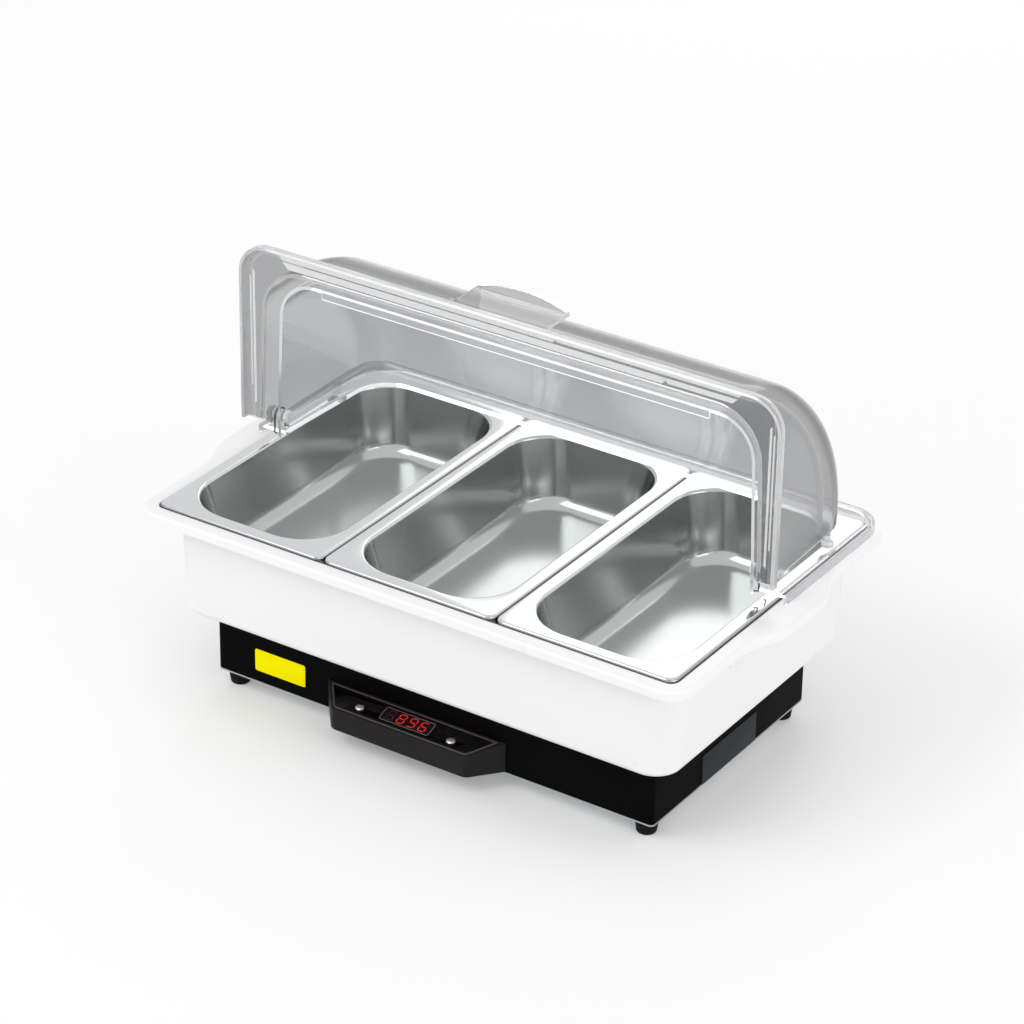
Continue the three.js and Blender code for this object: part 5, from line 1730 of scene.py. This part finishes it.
@dataclass
class ControlBox:
    """The box on the front of the base, with its sloping panel, display and two buttons."""

    place_at: tuple[float, float, float] = (-13.0, -127.3, 16.8)
    back_width: float = 188.0
    front_width: float = 141.0
    reach: float = 28.5
    back_height: float = 29.4
    front_height: float = 19.8
    corner: float = 9.0
    margin: float = 4.2
    ledge: float = 1.4
    lens: float = 1.6
    bezel_inset: float = 1.2
    bezel_height: float = 1.0
    wall: float = 2.5
    ribs: tuple[float, float] = (-46.0, 46.0)
    rib_width: float = 4.0
    rib_drop: float = 11.4
    gap: float = 0.3
    button_x: float = 48.0
    button_y: float = -17.0
    button_radius: float = 4.5
    collar: tuple[float, float] = (1.0, 0.7)
    stem: tuple[float, float] = (1.5, -4.2)
    window: tuple[float, float, float] = (-14.0, 52.0, 15.0)
    window_corner: float = 2.0
    frame_width: float = 0.8
    frame_height: float = 0.14
    pane: float = 0.1
    digit_half: tuple[float, float] = (3.2, 5.0)
    digit_pitch: float = 11.4
    digit_lean: float = 0.1
    bar: float = 0.5
    bar_gap: float = 0.35

    @property
    def slope(self) -> float:
        """Angle of the sloping panel."""
        return math.atan2(self.back_height - self.front_height, self.reach)

    @property
    def slope_length(self) -> float:
        """Length of the sloping panel from back to front."""
        return math.hypot(self.reach, self.back_height - self.front_height)

    @property
    def on_panel(self) -> Matrix:
        """From the panel's own frame to the model's."""
        return place(*self.place_at) @ self.on_box

    @property
    def on_box(self) -> Matrix:
        """From the panel's own frame to the box's."""
        return place(z=self.back_height) @ turned(self.slope, "X")

    def outline(self, inset: float, reach: float, back_inset: float | None = None) -> Plan:
        """Outline of the box in plan, or of its sloping face, drawn in by an inset."""
        back = inset if back_inset is None else back_inset
        spread = (self.back_width - self.front_width) / 2 / reach
        half = self.back_width / 2 - inset * math.hypot(1, spread)
        front, corner = inset - reach, self.corner - inset
        corners = [
            ((half - back * spread, -back), 0.0),
            ((-half + back * spread, -back), 0.0),
            ((-half - front * spread, front), corner),
            ((half + front * spread, front), corner),
        ]
        return [(x, y) for x, y in rounded_section(corners, 10, closed=True)]

    def on_slope(self, name: str, inset: float, bottom: float, top: float) -> Obj:
        """A plate on the panel's outline, in the panel's own frame."""
        return extrude(name, self.outline(inset, self.slope_length), bottom, top)

    def sloped(self, name: str, plan: Plan, bottom: float, drop: float) -> Obj:
        """A solid on an outline between a level and a plane under the sloping face."""
        rise, level = math.tan(self.slope), drop / math.cos(self.slope)
        high = [(x, y, self.back_height + y * rise - level) for x, y in plan]
        return loft(name, [at_height(plan, bottom), high])

    def box(self) -> Obj:
        """The box with its recess for the panel, its hollow inside and its two ribs."""
        wall, under = self.wall, self.wall + self.lens
        box = softened(self.sloped("box", self.outline(0, self.reach), 0, 0), 1.0, 3, 50)
        cavity = self.sloped("cavity", self.outline(wall, self.reach, -3), wall, under)
        recess = self.on_slope("recess", self.margin, -self.lens - self.gap, 6)
        room = self.on_slope("room", self.margin + self.ledge, -under - 1, 3)
        for cut in (cavity, moved(recess, self.on_box), moved(room, self.on_box)):
            box = combine(box, cut, "DIFFERENCE")
        front, half = wall / 2 - self.reach, self.rib_width / 2
        for x in self.ribs:
            plan = [(x + half, front), (x + half, -wall), (x - half, -wall), (x - half, front)]
            box = combine(box, self.sloped("rib", plan, wall / 2, self.rib_drop), "UNION")
        return box

    def bezel(self) -> Obj:
        """The raised line round the panel."""
        outer = self.outline(self.margin - self.bezel_inset, self.slope_length)
        inner = self.outline(self.margin, self.slope_length)
        low, high = self.gap, self.gap + self.bezel_height
        levels = ((outer, low), (outer, high), (inner, high), (inner, low))
        rings = [at_height(plan, z) for plan, z in levels]
        return softened(loft("bezel", rings, closed=True), 0.25, 2)

    def panel(self) -> Obj:
        """The glossy panel with its two button holes."""
        panel = self.on_slope("panel", self.margin + self.gap, -self.lens, 0)
        radius = self.button_radius + self.gap
        for side, _ in SIDES:
            hole = revolve("hole", [(-4, radius), (4, radius)], TURN)
            moved(hole, place(side * self.button_x, self.button_y) @ UPRIGHT)
            panel = combine(panel, hole, "DIFFERENCE")
        return softened(panel, 0.2, 2)

    def window_plan(self, inset: float) -> Plan:
        """Outline of the display's window, drawn in by an inset."""
        y, width, depth = self.window
        corner = self.window_corner - inset
        plan = rounded_rectangle(width / 2 - inset, depth / 2 - inset, corner, 8)
        return [(a, y + b) for a, b in plan]

    def frame_line(self) -> Obj:
        """The thin line round the display window."""
        levels = ((0, 0), (0, self.frame_height), (1, self.frame_height), (1, 0))
        rings = [at_height(self.window_plan(self.frame_width * a), z) for a, z in levels]
        return loft("frame_line", rings, closed=True)

    def window_plate(self) -> Obj:
        """The dark window of the display."""
        return extrude("window", self.window_plan(self.frame_width + 0.1), 0, self.pane)

    def digit(self, x: float, segments: str, name: str) -> Obj:
        """One digit of seven bars, of which the named ones are made.

        Args:
            x: Middle of the digit across the panel.
            segments: Letters a to g of the bars that are made.
            name: Name of the object.

        Returns:
            The bars as one mesh.
        """
        (half_x, half_y), bar = self.digit_half, self.bar
        left, right = [[(s, y) for y in (half_y, 0, -half_y)] for s in (-half_x, half_x)]
        ends = {
            "a": (left[0], right[0]),
            "b": (right[0], right[1]),
            "c": (right[1], right[2]),
            "d": (right[2], left[2]),
            "e": (left[2], left[1]),
            "f": (left[1], left[0]),
            "g": (left[1], right[1]),
        }
        parts = []
        for letter in segments:
            first, last = (Vector(point) for point in ends[letter])
            along = (last - first).normalized()
            across = Vector((-along.y, along.x)) * bar
            first, last = first + along * self.bar_gap, last - along * self.bar_gap
            near, far = first + along * bar, last - along * bar
            points = [first, near - across, far - across, last, far + across, near + across]
            outline = [(x + p.x + p.y * self.digit_lean, self.window[0] + p.y) for p in points]
            parts.append(extrude(letter, outline, self.pane, 2 * self.pane))
        return joined(name, parts)

    def button(self, side: int) -> Obj:
        """A domed button with its collar and stem."""
        r, (stem, low), (wide, thick) = self.button_radius, self.stem, self.collar
        top = -self.lens - self.gap
        profile = [(low, stem), (top - thick, stem), (top - thick, r + wide), (top, r + wide)]
        profile += [(top, r), (0.3, r), *arc((0.5, 0), (1.3, r), QUARTER, 0, 12)[1:]]
        button = moved(revolve("button", profile, TURN), UPRIGHT)
        return moved(button, place(side * self.button_x, self.button_y))

    def build(self) -> None:
        """Builds and dresses the box and all that is on its panel."""
        box = moved(self.box(), place(*self.place_at))
        box.name = "sloped_box"
        settle(dress(shade(box, 30), "box_black"), Body.BASE, ["control_box_shell"])
        pieces = [
            (self.bezel(), "panel_line", 35, "bezel_bronze", "bezel_bronze", ["control_bezel"]),
            (self.panel(), "gloss_panel", 35, "panel_black", "panel_black", ["control_lens"]),
            (self.frame_line(), "display_line", 35, "display_frame", "bezel_bronze", []),
            (self.window_plate(), "display_pane", 35, "display_window", "panel_black", []),
        ]
        places = [(index - 1.5) * self.digit_pitch for index in range(4)]
        unlit = self.digit(places[0], "abcdefg", "digit_unlit")
        shown = zip(places[1:], ("abcdefg", "abcdfg", "acdefg"))
        lit = joined("digits_lit", [self.digit(x, bars, "digit") for x, bars in shown])
        pieces.append((unlit, "digit_unlit", 30, "display_unlit", "panel_black", []))
        pieces.append((lit, "digits_lit", 30, "display_lit", "panel_black", []))
        for piece, name, angle, finish, slot, nodes in pieces:
            piece.name = name
            dress(moved(shade(piece, angle), self.on_panel), finish)
            settle(piece, Body.BASE, nodes)
        for (side, word), body in zip(SIDES, (Body.BUTTON_LEFT, Body.BUTTON_RIGHT)):
            button = moved(shade(self.button(side), 50), self.on_panel)
            button.name = f"domed_button_{word}"
            settle(dress(button, "button_chrome"), body, [f"button_{word}"])


# Studio


@dataclass
class Studio:
    """The pale floor, the soft lights, the white backdrop and the camera.

    The lamps are given as (name, place in metres, point it faces, side in metres, watts).
    """

    camera_place: Point = (1.63906, -2.50422, 1.81505)
    azimuth: float = 33.21
    elevation: float = 28.51
    roll: float = 0.92
    lens: float = 137.36
    floor_size: float = 30.0
    backdrop: float = 1.0
    fill_around: float = 1.22
    fill_above: float = 0.62
    floor_tone: float = 0.8
    floor_lift: float = 0.17
    lamps: tuple[tuple[str, Point, Point, float, float], ...] = (
        ("key_lamp", (-1.2, -2.2, 2.6), (0, 0, 0.2), 1.8, 28),
        ("back_lamp", (-0.96, 2.63, 1.6), (0, 0, 0.15), 1.4, 8),
        ("right_lamp", (2.7, -0.5, 0.9), (0, 0, 0.1), 1.4, 11),
    )

    def camera(self) -> None:
        """Sets the camera where the photograph's camera stood."""
        az, el, roll = (math.radians(v) for v in (self.azimuth, self.elevation, self.roll))
        back = Vector((math.sin(az) * math.cos(el), -math.cos(az) * math.cos(el), math.sin(el)))
        right = (-back).cross(Vector((0, 0, 1))).normalized()
        up = right.cross(-back)
        side = right * math.cos(roll) + up * math.sin(roll)
        top = up * math.cos(roll) - right * math.sin(roll)
        data = bpy.data.cameras.new("photo_camera")
        data.lens, data.sensor_width = self.lens, 36
        data.clip_start, data.clip_end = 0.05, 100
        camera = linked("photo_camera", data)
        turn = Matrix((side, top, back)).transposed().to_4x4()
        camera.matrix_world = Matrix.Translation(self.camera_place) @ turn
        bpy.context.scene.camera = camera

    def seen_directly(self, nodes: Nodes) -> Socket:
        """1 for camera, glossy and transmission rays, and 0 for light that falls on things."""
        rays = nodes.add("ShaderNodeLightPath").outputs
        seen = nodes.math("MAXIMUM", rays["Is Camera Ray"], rays["Is Glossy Ray"])
        return nodes.math("MAXIMUM", seen, rays["Is Transmission Ray"])

    def world(self) -> None:
        """A white backdrop to look at, and a softer light from all round to light the object."""
        world = bpy.data.worlds.new("studio")
        world.use_nodes = True
        nodes = Nodes(world.node_tree)
        direction = nodes.add("ShaderNodeTexCoord").outputs["Generated"]
        height = nodes.add("ShaderNodeSeparateXYZ", {0: direction}).outputs["Z"]
        around = {"Value": height, "To Min": self.fill_around, "To Max": self.fill_above}
        fill = nodes.add("ShaderNodeMapRange", around).outputs[0]
        inputs = {"Value": self.seen_directly(nodes), "To Min": fill, "To Max": self.backdrop}
        strength = nodes.add("ShaderNodeMapRange", inputs).outputs[0]
        background = world.node_tree.nodes["Background"]
        nodes.feed(background, {"Color": (1, 1, 1, 1), "Strength": strength})
        bpy.context.scene.world = world

    def floor(self) -> None:
        """A pale floor that keeps the object's shadow and meets the white backdrop."""
        size, tone = self.floor_size / MM / 2, self.floor_tone
        corners = [(-size, -size, 0), (size, -size, 0), (size, size, 0), (-size, size, 0)]
        floor = closed_up(point_object("floor", corners, [], [(0, 1, 2, 3)]))
        material = bpy.data.materials.new("floor_white")
        material.use_nodes = True
        nodes = Nodes(material.node_tree)
        lift = nodes.math("MULTIPLY", self.seen_directly(nodes), self.floor_lift)
        inputs = {
            "Base Color": (tone, tone, tone, 1),
            "Roughness": 0.9,
            "Specular IOR Level": 0.1,
            "Emission Color": (1, 1, 1, 1),
            "Emission Strength": lift,
        }
        nodes.feed(material.node_tree.nodes["Principled BSDF"], inputs)
        floor.data.materials.append(material)

    def light(self) -> None:
        """Adds the large soft lamps."""
        for name, place_at, aim, size, power in self.lamps:
            data = bpy.data.lights.new(name, "AREA")
            data.shape, data.size, data.energy = "SQUARE", size, power
            lamp = linked(name, data)
            turn = (Vector(aim) - Vector(place_at)).to_track_quat("-Z", "Y")
            lamp.matrix_world = Matrix.Translation(place_at) @ turn.to_matrix().to_4x4()
            lamp.visible_camera = False

    def build(self) -> None:
        """Sets up the camera, the world, the floor and the lamps."""
        bpy.context.scene.view_settings.view_transform = "Standard"
        self.camera()
        self.world()
        self.floor()
        self.light()


# The whole warmer


@dataclass
class BuffetWarmer:
    """All the pieces of the warmer, and the finishes of the CAD nodes that stay."""

    pan_pitch: float = 177.0
    cover_slot: str = "cover_clear"
    cover_finish: str = "cover_rear"

    def finish_nodes(self) -> None:
        """Gives every CAD node that stays its finish, by its slot in the record."""
        slots = {row["node"]: row["material_slot"] for row in frame["record"]["subparts"]}
        for name, node in frame["nodes"].items():
            slot = slots[name]
            material = Finishes.get(self.cover_finish if slot == self.cover_slot else slot)
            if not node.data.materials:
                node.data.materials.append(material)
            for place_on in node.material_slots:
                place_on.material = material
        LOG.info("%d CAD nodes have their finishes", len(slots))

    def build(self) -> None:
        """Builds everything in order."""
        self.finish_nodes()
        for index, body in enumerate((Body.PAN_LEFT, Body.PAN_MIDDLE, Body.PAN_RIGHT)):
            FoodPan(name=body.value, body=body, centre_x=(index - 1) * self.pan_pitch).build()
        for kind in (
            WaterTub, RearHalf, FrontHalf, HingeSet, BumperSet,
            HeatingCase, StuckPlates, FixingSet, ControlBox,
        ):
            kind().build()


def main() -> None:
    """Builds the studio and the warmer."""
    logging.basicConfig(level=logging.INFO, format="%(name)s: %(message)s")
    Groups.build()
    Studio().build()
    BuffetWarmer().build()


if __name__ == "__main__":
    main()
